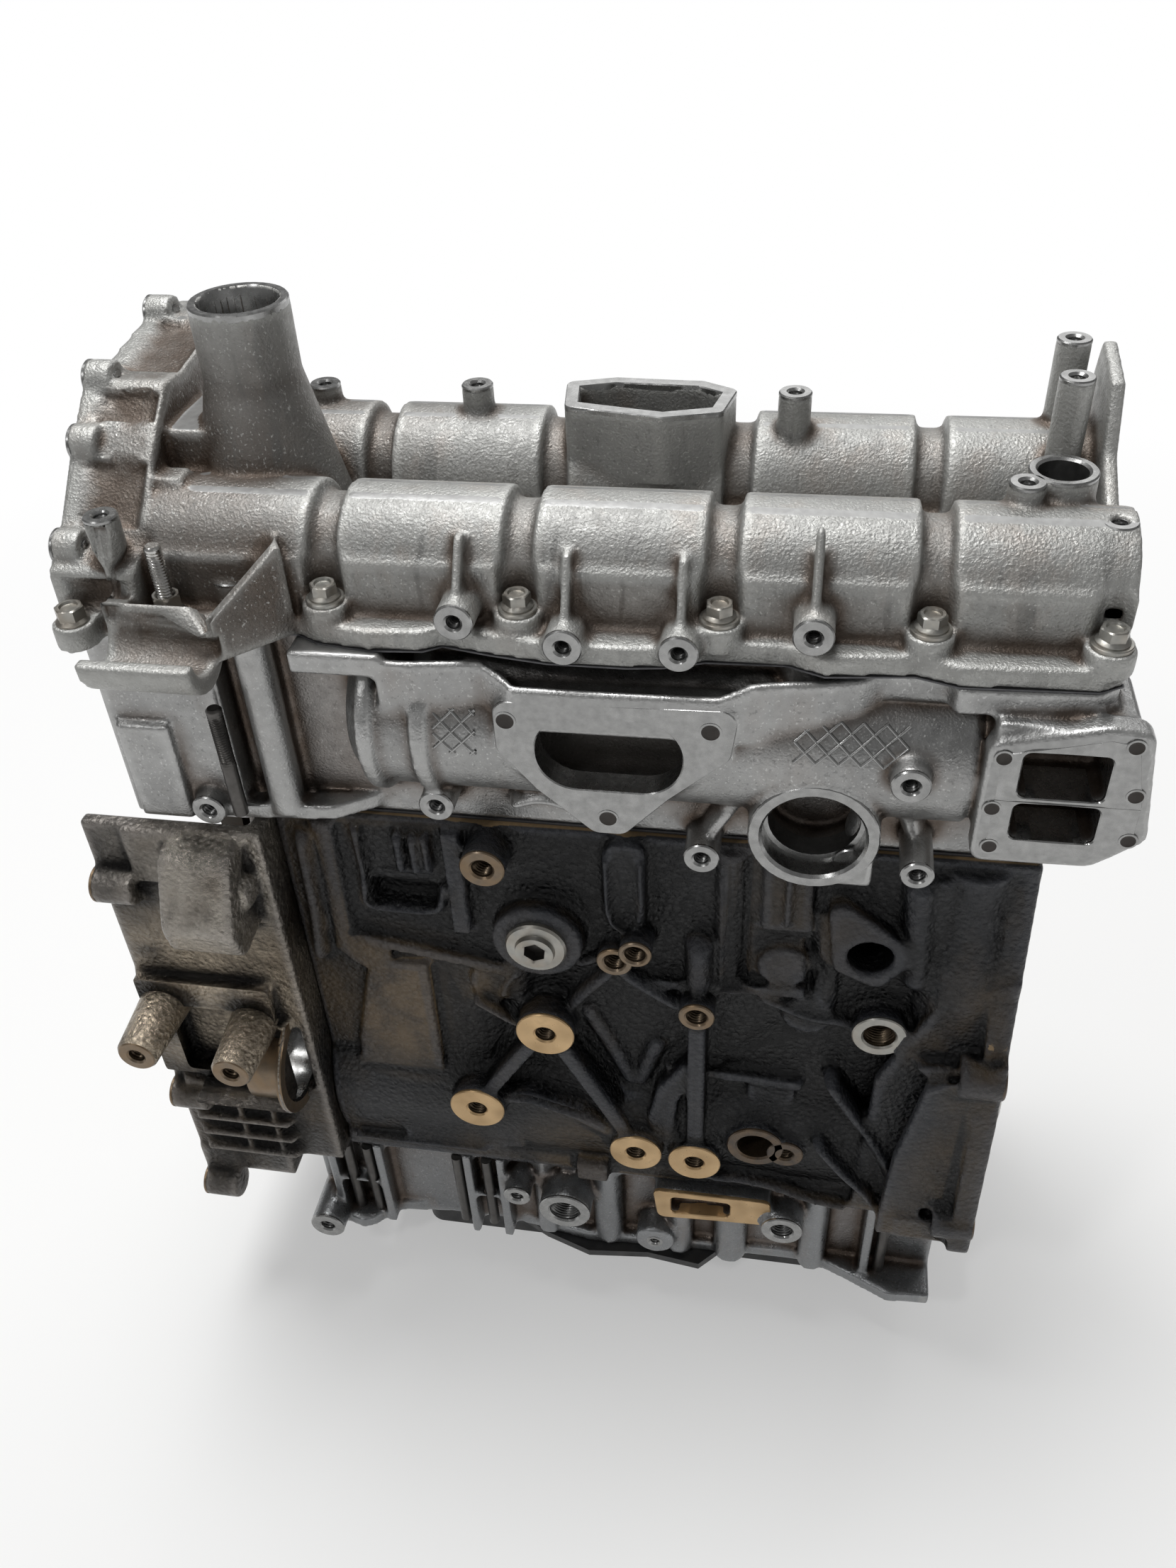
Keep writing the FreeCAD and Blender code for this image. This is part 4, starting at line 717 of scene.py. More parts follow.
def finish(name):
    """The named finish, made on first use."""
    if name not in FINISH:
        c = colours()
        milled = tuple(c.milled)
        bronze = tuple(c.bronze)
        makers = {
            "carrier": lambda: cast_alloy("carrier_cast", tuple(c.carrier), milled, 900, 0.0006, 0.4, 0.6, 0.42,
                                          0.6, CARRIER_STAINS_AND_SHADE),
            "head": lambda: cast_alloy("head_cast", tuple(c.head), milled, 1000, 0.0003, 0.16, 0.85, 0.34),
            "bed": lambda: cast_alloy("bed_cast", tuple(c.bed), milled, 900, 0.0003, 0.5, 0.85, 0.3),
            "iron": lambda: oiled_iron("block_iron", tuple(c.iron), bronze, 0.4, 0.15, (
                ((-135, -76, DECK - 142), 0.07, 0.9, shaded(bronze, 0.26)),
                ((-20, -90, DECK - 262), 0.06, 0.7, shaded(bronze, 0.2)),
                ((150, -90, DECK - 300), 0.05, 0.6, shaded(bronze, 0.2)))),
            "case": lambda: oiled_iron("case_iron", (0.042, 0.039, 0.036), shaded(bronze, 0.7), 0.55, 0.15, (
                # Pale spots: painted light on the case's upper faces and screw tubes, partly a worn silvery
                # face
                ((-215, -130, DECK - 12), 0.08, 0.8, (0.40, 0.37, 0.325)),
                ((-240, -130, DECK - 125), 0.085, 0.95, (0.46, 0.39, 0.30))), 0.75),
            "milled": lambda: cut_metal("milled_alloy", milled),
            "bored": lambda: cut_metal("bored_alloy", shaded(milled, 0.5), 0.9, 0.32),
            "bronze": lambda: cut_metal("varnished_iron", bronze, 0.7, 0.32, 0.5),
            "dull_face": lambda: cut_metal("browned_iron", (0.20, 0.155, 0.11), 0.7, 0.34, 0.5),
            "dark_face": lambda: cut_metal("oiled_face", (0.075, 0.062, 0.052), 0.6, 0.3, 0.4),
            "dark_bore": lambda: cut_metal("oiled_bore", (0.10, 0.075, 0.05), 0.8, 0.3),
            "zinc": lambda: cut_metal("zinc_plate", tuple(c.zinc), 0.9, 0.36, 0.3),
            # Near-black finish of the screw eyes' dishes: a painted shadow for the depth of the tapped holes
            "thread": lambda: cut_metal("thread_shadow", (0.028, 0.022, 0.018), 0.3, 0.4),
            "steel": lambda: cut_metal("bright_steel", (0.55, 0.54, 0.52), 1.0, 0.22),
            "dark_steel": lambda: cut_metal("dark_steel", (0.10, 0.095, 0.09), 0.9, 0.35),
            "chain": lambda: cut_metal("chain_steel", (0.22, 0.20, 0.17), 0.95, 0.3, 0.3),
            "piston": lambda: cut_metal("piston_alloy", (0.50, 0.50, 0.49), 0.9, 0.3),
            "bearing": lambda: cut_metal("bearing_metal", (0.52, 0.48, 0.42), 0.95, 0.24),
            "gasket": lambda: cut_metal("gasket_steel", (0.09, 0.09, 0.095), 0.6, 0.4),
            "paint": lambda: soft_black("sump_paint"),
            "rubber": lambda: soft_black("seal_rubber", (0.02, 0.019, 0.018), 0.55),
            "guide": lambda: soft_black("guide_plastic", (0.05, 0.035, 0.02), 0.35),
        }
        FINISH[name] = makers[name]()
    return FINISH[name]


NODE_FINISH = {
    "zinc": ("core_plugs", "drain_plug", "sump_screws", "guide_pins"),
    "dark_steel": ("main_bearing_caps", "main_cap_screws", "head_bolts", "valve_springs", "bed_frame_screws"),
    "bearing": ("main_bearing_shells",),
    "milled": ("rear_seal_carrier", "chain_tensioner"),
    "rubber": ("rear_crank_seal",),
    "paint": ("oil_sump",),
    "gasket": ("head_gasket", "cam_carrier_gasket"),
    "guide": ("chain_guide", "tensioner_arm"),
}


class EngineOperator:
    bl_options = {"REGISTER"}


class ENGINE_OT_inner_parts(EngineOperator, Operator):
    """Give every carried-over solid its metal, rubber or paint."""
    bl_idname = "engine.inner_parts"
    bl_label = "Inner parts"

    def execute(self, context):
        chosen = {node: name for name, nodes in NODE_FINISH.items() for node in nodes}
        for node, solid in frame["nodes"].items():
            name = chosen.get(node, "piston" if node.startswith("piston") else "steel")
            solid.data.materials.clear()
            solid.data.materials.append(finish(name))
        return {"FINISHED"}


class ENGINE_OT_cam_carrier(EngineOperator, Operator):
    """Cast the cam carrier with its tunnels, tower, filler neck and cradle."""
    bl_idname = "engine.cam_carrier"
    bl_label = "Cam carrier"

    def execute(self, context):
        faces = [(0, -262, -1), (2, HEAD_TOP + 130, 1), (2, CAM_Z + 45, 1)]
        faces += [(2, HEAD_TOP + rise, 1) for rise in (72, 68, 76, 67, 58, 92, 98, 24, 36)]
        faces += [(1, -97, -1)]
        casting("cam_carrier", "cam_carrier_casting", finish("carrier"), faces, 190000, self.forms(),
                self.carve)
        return {"FINISHED"}

    def forms(self):
        """The upright boss on its blade, and the small cube lug of the tower."""
        skin = Skin()
        skin.lathe((*BOSS, HEAD_TOP + 18), UP, [(0, 0), (8, 0), (8, 42), (3.7, 42), (3.7, 26), (0, 26)])
        skin.slab("XY", HEAD_TOP + 62, [(-218, -52), (-206, -52), (-206, -38), (-218, -38)], 30)
        return skin

    def carve(self, points, normals):
        """Sink the tower's skin behind its flange, thin the boss's foot to a blade, and slope the top
        of the cradle's arm down towards its end."""
        x, y, z = points.T
        rise = z - HEAD_TOP
        flange_x, wall_x = -252, -222
        step = np.clip((x - flange_x) / 3, 0, 1) * np.clip((wall_x - x) / 3, 0, 1)
        outward = (normals[:, 1] * (y - 20) + normals[:, 2] * (z - CAM_Z)) > 8
        skin = (np.abs(normals[:, 0]) < 0.5) & outward & (rise > 16) & (y < 94)
        for lug_y, lug_rise in ((-76, 38), (-38, 72), (-10, 92), (62, 98), (-84, 38)):
            skin &= np.hypot(y - lug_y, rise - lug_rise) > 10.5
        points -= normals * [0, 1, 1] * (step * skin * 3.2)[:, None]
        from_boss = x - BOSS[0]
        blade = (np.hypot(from_boss, y - BOSS[1]) < 10) & (rise > 12) & (rise < 44)
        thin = np.clip((rise - 12) / 5, 0, 1) * np.clip((44 - rise) / 8, 0, 1)
        points[blade, 0] -= (from_boss * 0.6 * thin)[blade]
        root_x, root_y = -182, -116
        way_x, way_y = 0.718, 0.696
        along = (x - root_x) * way_x + (y - root_y) * way_y
        across = (y - root_y) * way_x - (x - root_x) * way_y
        arm = (along > -8) & (along < 50) & (across > -2) & (across < 16) & (rise > 9) & (rise < 52)
        fade = np.clip((50 - along) / 6, 0, 1) * np.clip((rise - 9) / 5, 0, 1)
        shift = (across - 0.42 * across) * fade
        points[arm, 0] += (way_y * shift)[arm]
        points[arm, 1] -= (way_x * shift)[arm]
        slope = 0.14 + 0.86 * np.clip(along / 44, 0, 1)
        high = arm & (rise > 13)
        points[high, 2] = (HEAD_TOP + 13 + (rise - 13) * slope)[high]
        return points


class ENGINE_OT_cylinder_head(EngineOperator, Operator):
    """Cast the cylinder head with its intake plenum and flanges."""
    bl_idname = "engine.cylinder_head"
    bl_label = "Cylinder head"

    def execute(self, context):
        faces = [(2, HEAD_TOP, 1), (2, HEAD_TOP - 3, 1), (2, HEAD_Z, -1)]
        faces += [(1, -100, -1), (1, -105, -1), (1, 86, 1)]
        casting("cylinder_head", "cylinder_head_casting", finish("head"), faces, 190000, self.forms())
        return {"FINISHED"}

    def forms(self):
        """The thin rim that stands along the front of the deck, and the webs behind the bosses."""
        skin = Skin()
        rim = [(-112, -93), (-96, -93), (-79, -91), (-62, -89), (-52, -93), (-46, -98), (-11, -98), (47, -97)]
        rim += [(62, -95), (75, -92), (90, -90), (108, -86), (120, -80), (128, -76)]
        deck, dip = HEAD_TOP - 3, HEAD_TOP - 10
        high = np.interp([x for x, y in rim], [-62, -48, 47, 62], [deck, dip, dip, deck])
        skin.wall(rim, 4.5, HEAD_TOP - 34, high)
        webs = [
            (4, -84, [(-92, 24), (-96, 52)]), (6, -88, [(133, 70), (120, 96)]),
            (6, -86, [(142, 16), (128, 60)]), (6, -84, [(112, 8), (122, 50)]),
            (5, -86, [(40, 6), (56, 34)]), (4, -84, [(-60, 18), (-40, 26), (-8, 14)]),
        ]
        for width, crest, line in webs:
            skin.ridge(raised(line, HEAD_Z), width, crest, -72)
        return skin


class ENGINE_OT_cylinder_block(EngineOperator, Operator):
    """Cast the iron block with its bosses, ribs and bell flange."""
    bl_idname = "engine.cylinder_block"
    bl_label = "Cylinder block"

    def execute(self, context):
        faces = [(2, DECK, 1), (1, -94, -1), (0, 205, 1)]
        casting("cylinder_block", "cylinder_block_casting", finish("iron"), faces, 190000, self.forms(),
                self.sink)
        return {"FINISHED"}

    def forms(self):
        """Ribs, columns, pads and the flywheel-end bulge of the front wall."""
        skin = Skin()
        ribs = [
            (4, -86, [(-93, -124), (-66, -144), (-52, -144)]),
            (6, -80, [(-28, -125), (-12, -160), (2, -197)]), (6, -80, [(17, -150), (9, -176), (2, -197)]),
            (5, -84, [(-7, -92), (8, -104), (29, -119), (39, -116)]),
            (5, -84, [(-7, -92), (-24, -112), (-36, -130)]), (8, -88, [(39, -60), (39, -108)]),
            (5, -92, [(112, -160), (129, -189), (140, -206), (152, -230), (158, -252), (158, -276)]),
            (5, -96, [(108, -212), (128, -241), (143, -258), (152, -276)]),
            (3, -86, [(-186, -247), (-151, -244)]),
            (4, -92, [(30, -262), (65, -263), (85, -266), (111, -276), (136, -280)]),
            (3, -87, [(-186, -268), (-90, -268)]), (5, -84, [(-174, -8), (-176, -74), (-180, -110)]),
            (9, -84, [(148, -8), (152, -60), (155, -92)]), (3, -83, [(-121, -4), (-121, -36)]),
            (2.5, -83, [(-113, -4), (-113, -36)]), (2.5, -83, [(-106, -4), (-106, -34)]),
            (2.5, -80, [(-145, -4), (-144, -40), (-147, -64), (-104, -64), (-99, -40)]),
            (2.5, -84, [(-10, -6), (-10, -50), (-6, -61), (3, -61), (8, -50), (8, -6)]),
            (3, -84, [(84, -6), (84, -52)]), (4, -82, [(-60, -100), (-70, -112), (-74, -128)]),
            (4, -80, [(-32, -96), (-20, -90), (-14, -86)]),
            (4, -82, [(70, -104), (99, -118), (125, -120)]),
        ]
        for width, crest, line in ribs:
            skin.ridge(raised(line, DECK), width, crest, -72)
        slabs = [
            (-96, 26, [(158, -132), (200, -130), (201, -157), (180, -160), (172, -147)]),
            (-104, 34, [(160, -262), (204, -262), (204, -281), (162, -281)]),
            (-86, 14, [(141, -206), (168, -202), (177, -225), (182, -262), (160, -262)]),
            (-79, 10, [(71, -4), (96, -4), (97, -54), (71, -54)]),
            (-84, 14, [(-94, -232), (-69, -234), (-70, -264), (-94, -266)]),
        ]
        for level, depth, outline in slabs:
            skin.slab("XZ", level, raised(outline, DECK), depth)
        skin.bar((180, -62, DECK - 131), (176, -62, DECK - 6), 19, 26, 28, 26, 21, 19, 20)
        return skin

    def sink(self, points, normals):
        """Sink the slot under the vent ribs and the fields between the webs: the front wall goes in by
        a step of the distance inside each field's sides."""
        x, y, z = points.T
        drop = z - DECK
        wall = (normals[:, 1] < -0.55) & (y > -88) & (y < -68)
        vent = (x > -142) & (x < -98) & (drop > -38) & (drop < -3) & (y > -79.5)
        for rib in (-121, -113, -106):
            vent &= np.abs(x - rib) > 3.6
        vent &= normals[:, 1] < 0.2
        points[vent, 1] = np.maximum(y, -74.2)[vent]
        fields = [
            (8, [(-142, -62), (-105, -62), (-105, -44), (-142, -44)]),
            (7, [(-56, -158), (-84, -206), (-12, -226)]), (5, [(-84, -134), (-64, -150), (-88, -198)]),
            (4, [(-84, -8), (-62, -8), (-70, -44), (-82, -60)]),
            (4, [(50, -30), (66, -30), (66, -104), (50, -104)]),
            (4, [(52, -128), (96, -130), (92, -168), (52, -172)]),
            (6, [(-34, -150), (-4, -204), (-8, -222), (-38, -168)]),
            (4, [(98, -60), (112, -84), (96, -104), (92, -64)]),
        ]
        for depth, field in fields:
            corner = np.array(field, float)
            side = np.roll(corner, -1, 0) - corner
            normal = np.stack([-side[:, 1], side[:, 0]], 1) / np.linalg.norm(side, axis=1)[:, None]
            normal *= np.sign(np.sum((corner.mean(0) - corner) * normal, 1))[:, None]
            flat = np.stack([x, drop], 1)
            inside = np.min([(flat - spot) @ way for spot, way in zip(corner, normal)], 0)
            step = np.clip(inside / 3, 0, 1)
            points[:, 1] += depth * step * step * (3 - 2 * step) * wall
        return points


class ENGINE_OT_timing_case(EngineOperator, Operator):
    """Cast the open case round the timing drive."""
    bl_idname = "engine.timing_case"
    bl_label = "Timing case"

    def execute(self, context):
        faces = [(0, -290, -1), (1, -140, -1)]
        casting("timing_case", "timing_case_casting", finish("case"), faces, 120000, self.forms(), self.clear)
        skin = Skin()
        for x, rise in TUBES:
            rows = [(14.8, 0), (13.6, 16), (11.9, 42), (10.9, 43.4)]
            rows += [(6.2, 43.4), (6.2, 16), (14.8, 0)]
            skin.lathe((x, -96, BED + rise), FRONT, rows)
        skin.build("case_screw_tubes", "block", ["case"], 40)
        return {"FINISHED"}

    def forms(self):
        """Level ribs under the tubes, and the rounded nose of the hanging lug."""
        skin = Skin()
        for rise in (96, 112, 128, 146, 164):
            skin.ridge([(-284, BED + rise), (-214, BED + rise)], 3, -103, -94)
        for x in (-250, -228):
            skin.ridge([(x, BED + 92), (x, BED + 166)], 3, -101, -94)
        skin.bar((-238, -103, DECK - 30), (-196, -103, DECK - 34), 8, 15, 17, 17, 15, 8)
        return skin

    def clear(self, points, normals):
        """Push the wall round the screw tubes back, so that they stand free."""
        x, y, z = points.T
        rise = z - BED
        free = (x < -203) & (y < -103) & (rise > 172) & (rise < 264)
        for tube_x, tube_rise in TUBES:
            free &= np.hypot(x - tube_x, rise - tube_rise) > 11
        points[free, 1] = -103
        return points


class ENGINE_OT_bed_frame(EngineOperator, Operator):
    """Cast the aluminium lower frame with its open screw pockets."""
    bl_idname = "engine.bed_frame"
    bl_label = "Lower frame"

    def execute(self, context):
        faces = [(1, -98, -1), (1, -95, -1), (1, -92, -1), (1, -90, -1), (2, BED, -1)]
        casting("bed_frame", "bed_frame_casting", finish("bed"), faces, 140000)
        return {"FINISHED"}


class ENGINE_OT_carrier_faces(EngineOperator, Operator):
    """Machine the bosses and rims of the cam carrier."""
    bl_idname = "engine.carrier_faces"
    bl_label = "Carrier machining"

    def execute(self, context):
        skin = Skin()
        for x, y, rise in ((-87, 44, 72), (-169, 50, 68), (70, 34, 76), (171, -34, 67), (208, -49, 58),
                           (193, 20, 92), (194, 50, 98)):
            bored_boss(skin, (x, y, HEAD_TOP + rise), UP, 8, 3.5, 18)
        bored_boss(skin, (*BOSS, HEAD_TOP + 60), UP, 8, 3.5, 14)
        bored_boss(skin, (-182, -68, HEAD_TOP + 24), UP, 12, 8, 16, threaded=False)
        bored_boss(skin, (187, -21, HEAD_TOP + 67), UP, 15, 11, 18, threaded=False)
        for x, rise in ((-70, 21), (-22, 11), (29, 11), (86, 23)):
            bored_boss(skin, (x, -97, HEAD_TOP + rise), FRONT, 9, 3.6, 16)
        for y, rise in ((-76, 38), (-38, 72), (-10, 92), (62, 98), (90, 60), (90, 14)):
            bored_boss(skin, (-262, y, HEAD_TOP + rise), (-1, 0, 0), 9, 3.5, 14)
        rim = HEAD_TOP + 130
        rows = [(22.9, -3), (22.9, -0.6), (22.3, 0.12), (19.6, 0.12)]
        rows += [(18.4, -1.6), (18.4, -22), (18.9, -22), (18.9, -3)]
        rows.append((22.9, -3))
        skin.lathe((-180, -8, rim), UP, rows)
        mouth = [(-38, 46), (-18, 52), (24, 50), (38, 42), (34, 20), (9, 13), (-35, 22)]
        plate(skin, "XY", CAM_Z + 45.12, rounded(mouth, 3.9), rounded(mouth, -2.9), (0, 34), 0, 16)
        skin.build("carrier_machined_faces", "block", ["milled", "bored"])
        return {"FINISHED"}


def screw_eye(skin, place, radius, bore):
    """The countersunk mouth of a tapped hole, seen from in front: a low rim round a shallow dish in a
    near-black finish, a painted shadow that stands in for the depth of the hole.
    """
    rows = [(0, -1), (radius, -1), (radius, 0.25), (bore + 0.5, 0.3)]
    rows += [(bore, 0.1, 2), (bore * 0.6, 0.06, 2), (0, 0.05, 2)]
    skin.lathe(place, FRONT, rows)


class ENGINE_OT_head_faces(EngineOperator, Operator):
    """Machine the flanges and bosses of the cylinder head."""
    bl_idname = "engine.head_faces"
    bl_label = "Head machining"

    def execute(self, context):
        skin = Skin()
        bosses = [(-213, 13, -96, 9, 4), (-92, 24, -92, 9, 4), (40, 3, -92, 9, 4), (133, 70, -108, 9, 4)]
        bosses += [(142, 14, -104, 8, 4), (112, 6, -90, 9, 4)]
        for x, rise, face, radius, hole in bosses:
            bored_boss(skin, (x, face, HEAD_Z + rise), FRONT, radius, hole, 14)
        flange = [(-48, -25), (48, -23), (46, -38), (20, -62), (0, -84), (-8, -84), (-32, -62), (-48, -42)]
        flange = raised(flange, HEAD_TOP)
        oval = [(-18, HEAD_TOP - 46), (12, HEAD_TOP - 46), (12, HEAD_TOP - 44), (-18, HEAD_TOP - 44)]
        plate(skin, "XZ", -100.12, rounded(flange, 7.8), rounded(oval, 19.4, 12), (-3, HEAD_TOP - 45), 0, 14)
        for x, drop in ((-50, -28), (44, -27), (-4, -82)):
            screw_eye(skin, (x, -100.12, HEAD_TOP + drop), 5.2, 3.7)
        rows = [(30.8, -3), (30.8, -0.6), (30.2, 0.12), (25.6, 0.12)]
        rows += [(24.3, -1.5), (24.3, -13), (22, -13.5), (22, -26, 1)]
        rows += [(24.9, -26, 1), (24.9, -3), (30.8, -3)]
        skin.lathe((93, -100, HEAD_Z + 29), FRONT, rows)
        upper = [(169, -50), (230, -50), (231, -49), (224, -16), (212, -14), (169, -25)]
        lower = [(169, -81), (214, -80), (231, -66), (231, -50), (169, -50)]
        ports = [([(182, -44), (211, -44), (211, -27), (182, -27)], upper, (197, -35)),
                 ([(182, -68), (211, -68), (211, -55), (182, -55)], lower, (197, -62))]
        for port, outline, middle in ports:
            outer = raised(outline, HEAD_TOP)
            inner = rounded(raised(port, HEAD_TOP), 3.9)
            centre = (middle[0], HEAD_TOP + middle[1])
            plate(skin, "XZ", -105.12, rounded(outer, 0.0001, 2), inner, centre, 0, 24)
        for x, drop in ((170, -27), (169, -55), (171, -77), (222, -17), (227, -43), (229, -68)):
            screw_eye(skin, (x, -105.12, HEAD_TOP + drop), 4.2, 2.8)
        skin.build("head_machined_faces", "block", ["milled", "bored", "thread"])
        return {"FINISHED"}


class ENGINE_OT_block_faces(EngineOperator, Operator):
    """Machine the bosses of the iron block and the timing case."""
    bl_idname = "engine.block_faces"
    bl_label = "Block machining"

    def execute(self, context):
        skin = Skin()
        for x, drop, radius in ((-47, -138, 17), (-94, -214, 17), (3, -241, 16), (39, -244, 16)):
            bored_boss(skin, (x, -94, DECK + drop), FRONT, radius, 6, 20)
        small = ((39, -111, -94, 10), (6, -66, -94, 9), (-72, -13, -94, 12), (-7, -84, -84, 10))
        for x, drop, face, radius in small:
            bored_boss(skin, (x, face, DECK + drop), FRONT, radius, 6, 18, 2)
        bored_boss(skin, (138, -86, DECK - 121), FRONT, 15, 9, 26, 3)
        bored_boss(skin, (75, -90, DECK - 227), FRONT, 17, 11, 26, 4, False)
        bored_boss(skin, (93, -90, DECK - 231), FRONT, 11, 5, 22, 4)
        bored_boss(skin, (188, -96.2, DECK - 146), FRONT, 7.5, 6, 2.5, 4, False)
        bored_boss(skin, (190, -104.2, DECK - 272), FRONT, 7.5, 6, 2.5, 4, False)
        for y, z in ((-100, 114), (-94, 238), (-58, 350), (58, 350), (94, 238), (100, 114)):
            bored_boss(skin, (205, y, BED + z), (1, 0, 0), 12.5, 6.4, 20, 4)
        for x in (-120, 60):
            for drop in (-150, -215):
                bored_boss(skin, (x, 94, DECK + drop), (0, 1, 0), 13, 6, 16, 2)
        skin.build("block_machined_faces", "block", ["bronze", "dark_bore", "dull_face", "zinc", "dark_face"])
        skin = Skin()
        for x, rise in TUBES:
            bored_boss(skin, (x, -140, BED + rise), FRONT, 11, 5, 28)
        for y, z in ((-98, 55), (-98, 150), (-98, 330), (82, 100), (82, 240), (82, 350)):
            bored_boss(skin, (-290, y, BED + z), (-1, 0, 0), 11, 4.5, 16)
        rows = [(35.5, -3), (35.5, 0.12), (29, 0.12), (27.8, -1.5, 2)]
        rows += [(27.8, -25, 2), (28.4, -25), (28.4, -3), (35.5, -3)]
        skin.lathe((-200, -92, BED + 192), (1, 0, 0), rows)
        skin.build("case_machined_faces", "block", ["dull_face", "dark_bore", "milled"])
        return {"FINISHED"}


class ENGINE_OT_frame_faces(EngineOperator, Operator):
    """Machine the bosses of the lower frame."""
    bl_idname = "engine.frame_faces"
    bl_label = "Frame machining"

    def execute(self, context):
        skin = Skin()
        bored_boss(skin, (-214, -98, BED + 12), FRONT, 12, 5, 20)
        bored_boss(skin, (-45, -95, BED + 60), FRONT, 17, 10, 18)
        bored_boss(skin, (95, -95, BED + 68), FRONT, 13, 7, 18)
        bored_boss(skin, (-77, -92, BED + 66), FRONT, 9, 4, 18)
        bored_boss(skin, (13, -88, BED + 27), FRONT, 6, 3, 12)
        outer = [(20, 66), (84, 70), (82, 84), (18, 84)]
        inner = [(28, 70), (58, 72), (58, 80), (28, 80)]
        outer = raised(outer, BED)
        inner = raised(inner, BED)
        plate(skin, "XZ", -90.12, rounded(outer, 4.9), rounded(inner, 3.9), (44, BED + 76), 2, 12)
        skin.build("frame_machined_faces", "block", ["milled", "bored", "bronze"])
        return {"FINISHED"}


class ENGINE_OT_fasteners(EngineOperator, Operator):
    """Screws with their washers, the bracket nut and the socket plug."""
    bl_idname = "engine.fasteners"
    bl_label = "Fasteners"

    def execute(self, context):
        skin = Skin()
        for step, (x, y) in enumerate([(x, -78) for x in CYLINDERS] + [(208, -82)]):
            seat = HEAD_TOP + 18
            rows = [(3, 0), (9, 0), (9, 1.6), (8.6, 2), (3, 2),
                    (3, 0)]
            skin.lathe((x, y, seat), UP, rows)
            hex_head(skin, (x, y, seat + 2), 5.6, 7, 7.4, 0.3 * step)
        hex_head(skin, (-251, -99, HEAD_TOP + 12.8), 6, 8, 7.8, 0.2)
        skin.build("carrier_screws_dressed", "block", ["zinc"], 28, ("cam_carrier_screws",))
        skin = Skin()
        seat = HEAD_TOP + 10.8
        rows = [(4.2, 0), (8, 0), (8, 1.2), (7.2, 2.4)]
        rows += [(np.minimum(six_sides(6), 6.9), 2.9, 0), (np.minimum(six_sides(6), 6.9), 10, 0)]
        rows += [(6, 11), (4.9, 11), (4.2, 10.2), (4.2, 0)]
        skin.lathe((-209, -86, seat), UP, rows)
        skin.build("bracket_nut_dressed", "block", ["zinc"], 28, ("bracket_nut",))
        skin = Skin()
        stud(skin, (-209, -86, seat), UP, 4, 36)
        skin.build("bracket_stud_dressed", "block", ["steel"], 50, ("bracket_stud",))
        skin = Skin()
        stud(skin, (-196, -94, HEAD_Z + 12), UP, 4, 66, 30)
        skin.build("long_stud_dressed", "block", ["dark_steel"], 50, ("long_stud",))
        skin = Skin()
        for x in CYLINDERS:
            for side in (-1, 1):
                stud(skin, (x + 22 * side, 86, HEAD_Z + 48), (0, 1, 0), 4, 26, 6)
        skin.build("exhaust_studs_dressed", "block", ["zinc"], 50, ("exhaust_studs",))
        low, high = node_box("oil_gallery_plug")
        middle = (low + high) / 2
        radius = (high[0] - low[0]) / 2
        rows = [(0, 0), (radius, 0), (radius, 2.2), (radius - 1, 3.6)]
        rows += [(radius * 0.66, 4.2), (radius * 0.62, high[1] - low[1])]
        rows += [(7.6, high[1] - low[1]), (six_sides(5.6), high[1] - low[1] - 0.8, 0)]
        rows += [(six_sides(5.6), 0.6, 1), (0, 0.4, 1)]
        skin = Skin()
        skin.lathe((middle[0], high[1], middle[2]), FRONT, rows, 0.4)
        skin.build("gallery_plug_dressed", "block", ["zinc", "dark_steel"], 28, ("oil_gallery_plug",))
        return {"FINISHED"}


class ENGINE_OT_lattice(EngineOperator, Operator):
    """Raise the diamond grip ribs on the plenum."""
    bl_idname = "engine.lattice"
    bl_label = "Grip ribs"

    def execute(self, context):
        skin = Skin()
        pitch = sizes().lattice_pitch / MM
        radius, middle_y, middle_rise = 41.0, -58, 64
        for left, right, low, high in ((-86, -66, 0.5, 23), (81, 131, 8, 28)):
            for lean in (-1, 1):
                for offset in np.arange(left - (high - low), right + (high - low), pitch):
                    start = offset if lean > 0 else offset + (high - low)
                    line_x = np.array([start, start + lean * (high - low)])
                    share = np.sort(((np.array([left, right]) - line_x[0]) / (line_x[1] - line_x[0])))
                    first, last = max(0, share[0]), min(1, share[1])
                    if last - first < 0.06:
                        continue
                    along = np.linspace(first, last, 14)[:, None]
                    across = np.linspace(-1, 1, 5)[None, :]
                    width = 0.95 / math.sqrt(2)
                    x = line_x[0] + along * (line_x[1] - line_x[0]) + across * width
                    arc = low + along * (high - low) - across * width * lean
                    rise = 1.1 * np.sqrt(np.maximum(0, 1 - across ** 2)) - 0.3
                    rise = rise * np.ones_like(arc)
                    swing = arc / radius
                    out = radius + rise
                    height = HEAD_Z + middle_rise + out * np.sin(swing)
                    skin.grid(np.stack([x, middle_y - out * np.cos(swing), height], -1))
        skin.build("plenum_grip_ribs", "block", ["milled"], 60)
        return {"FINISHED"}


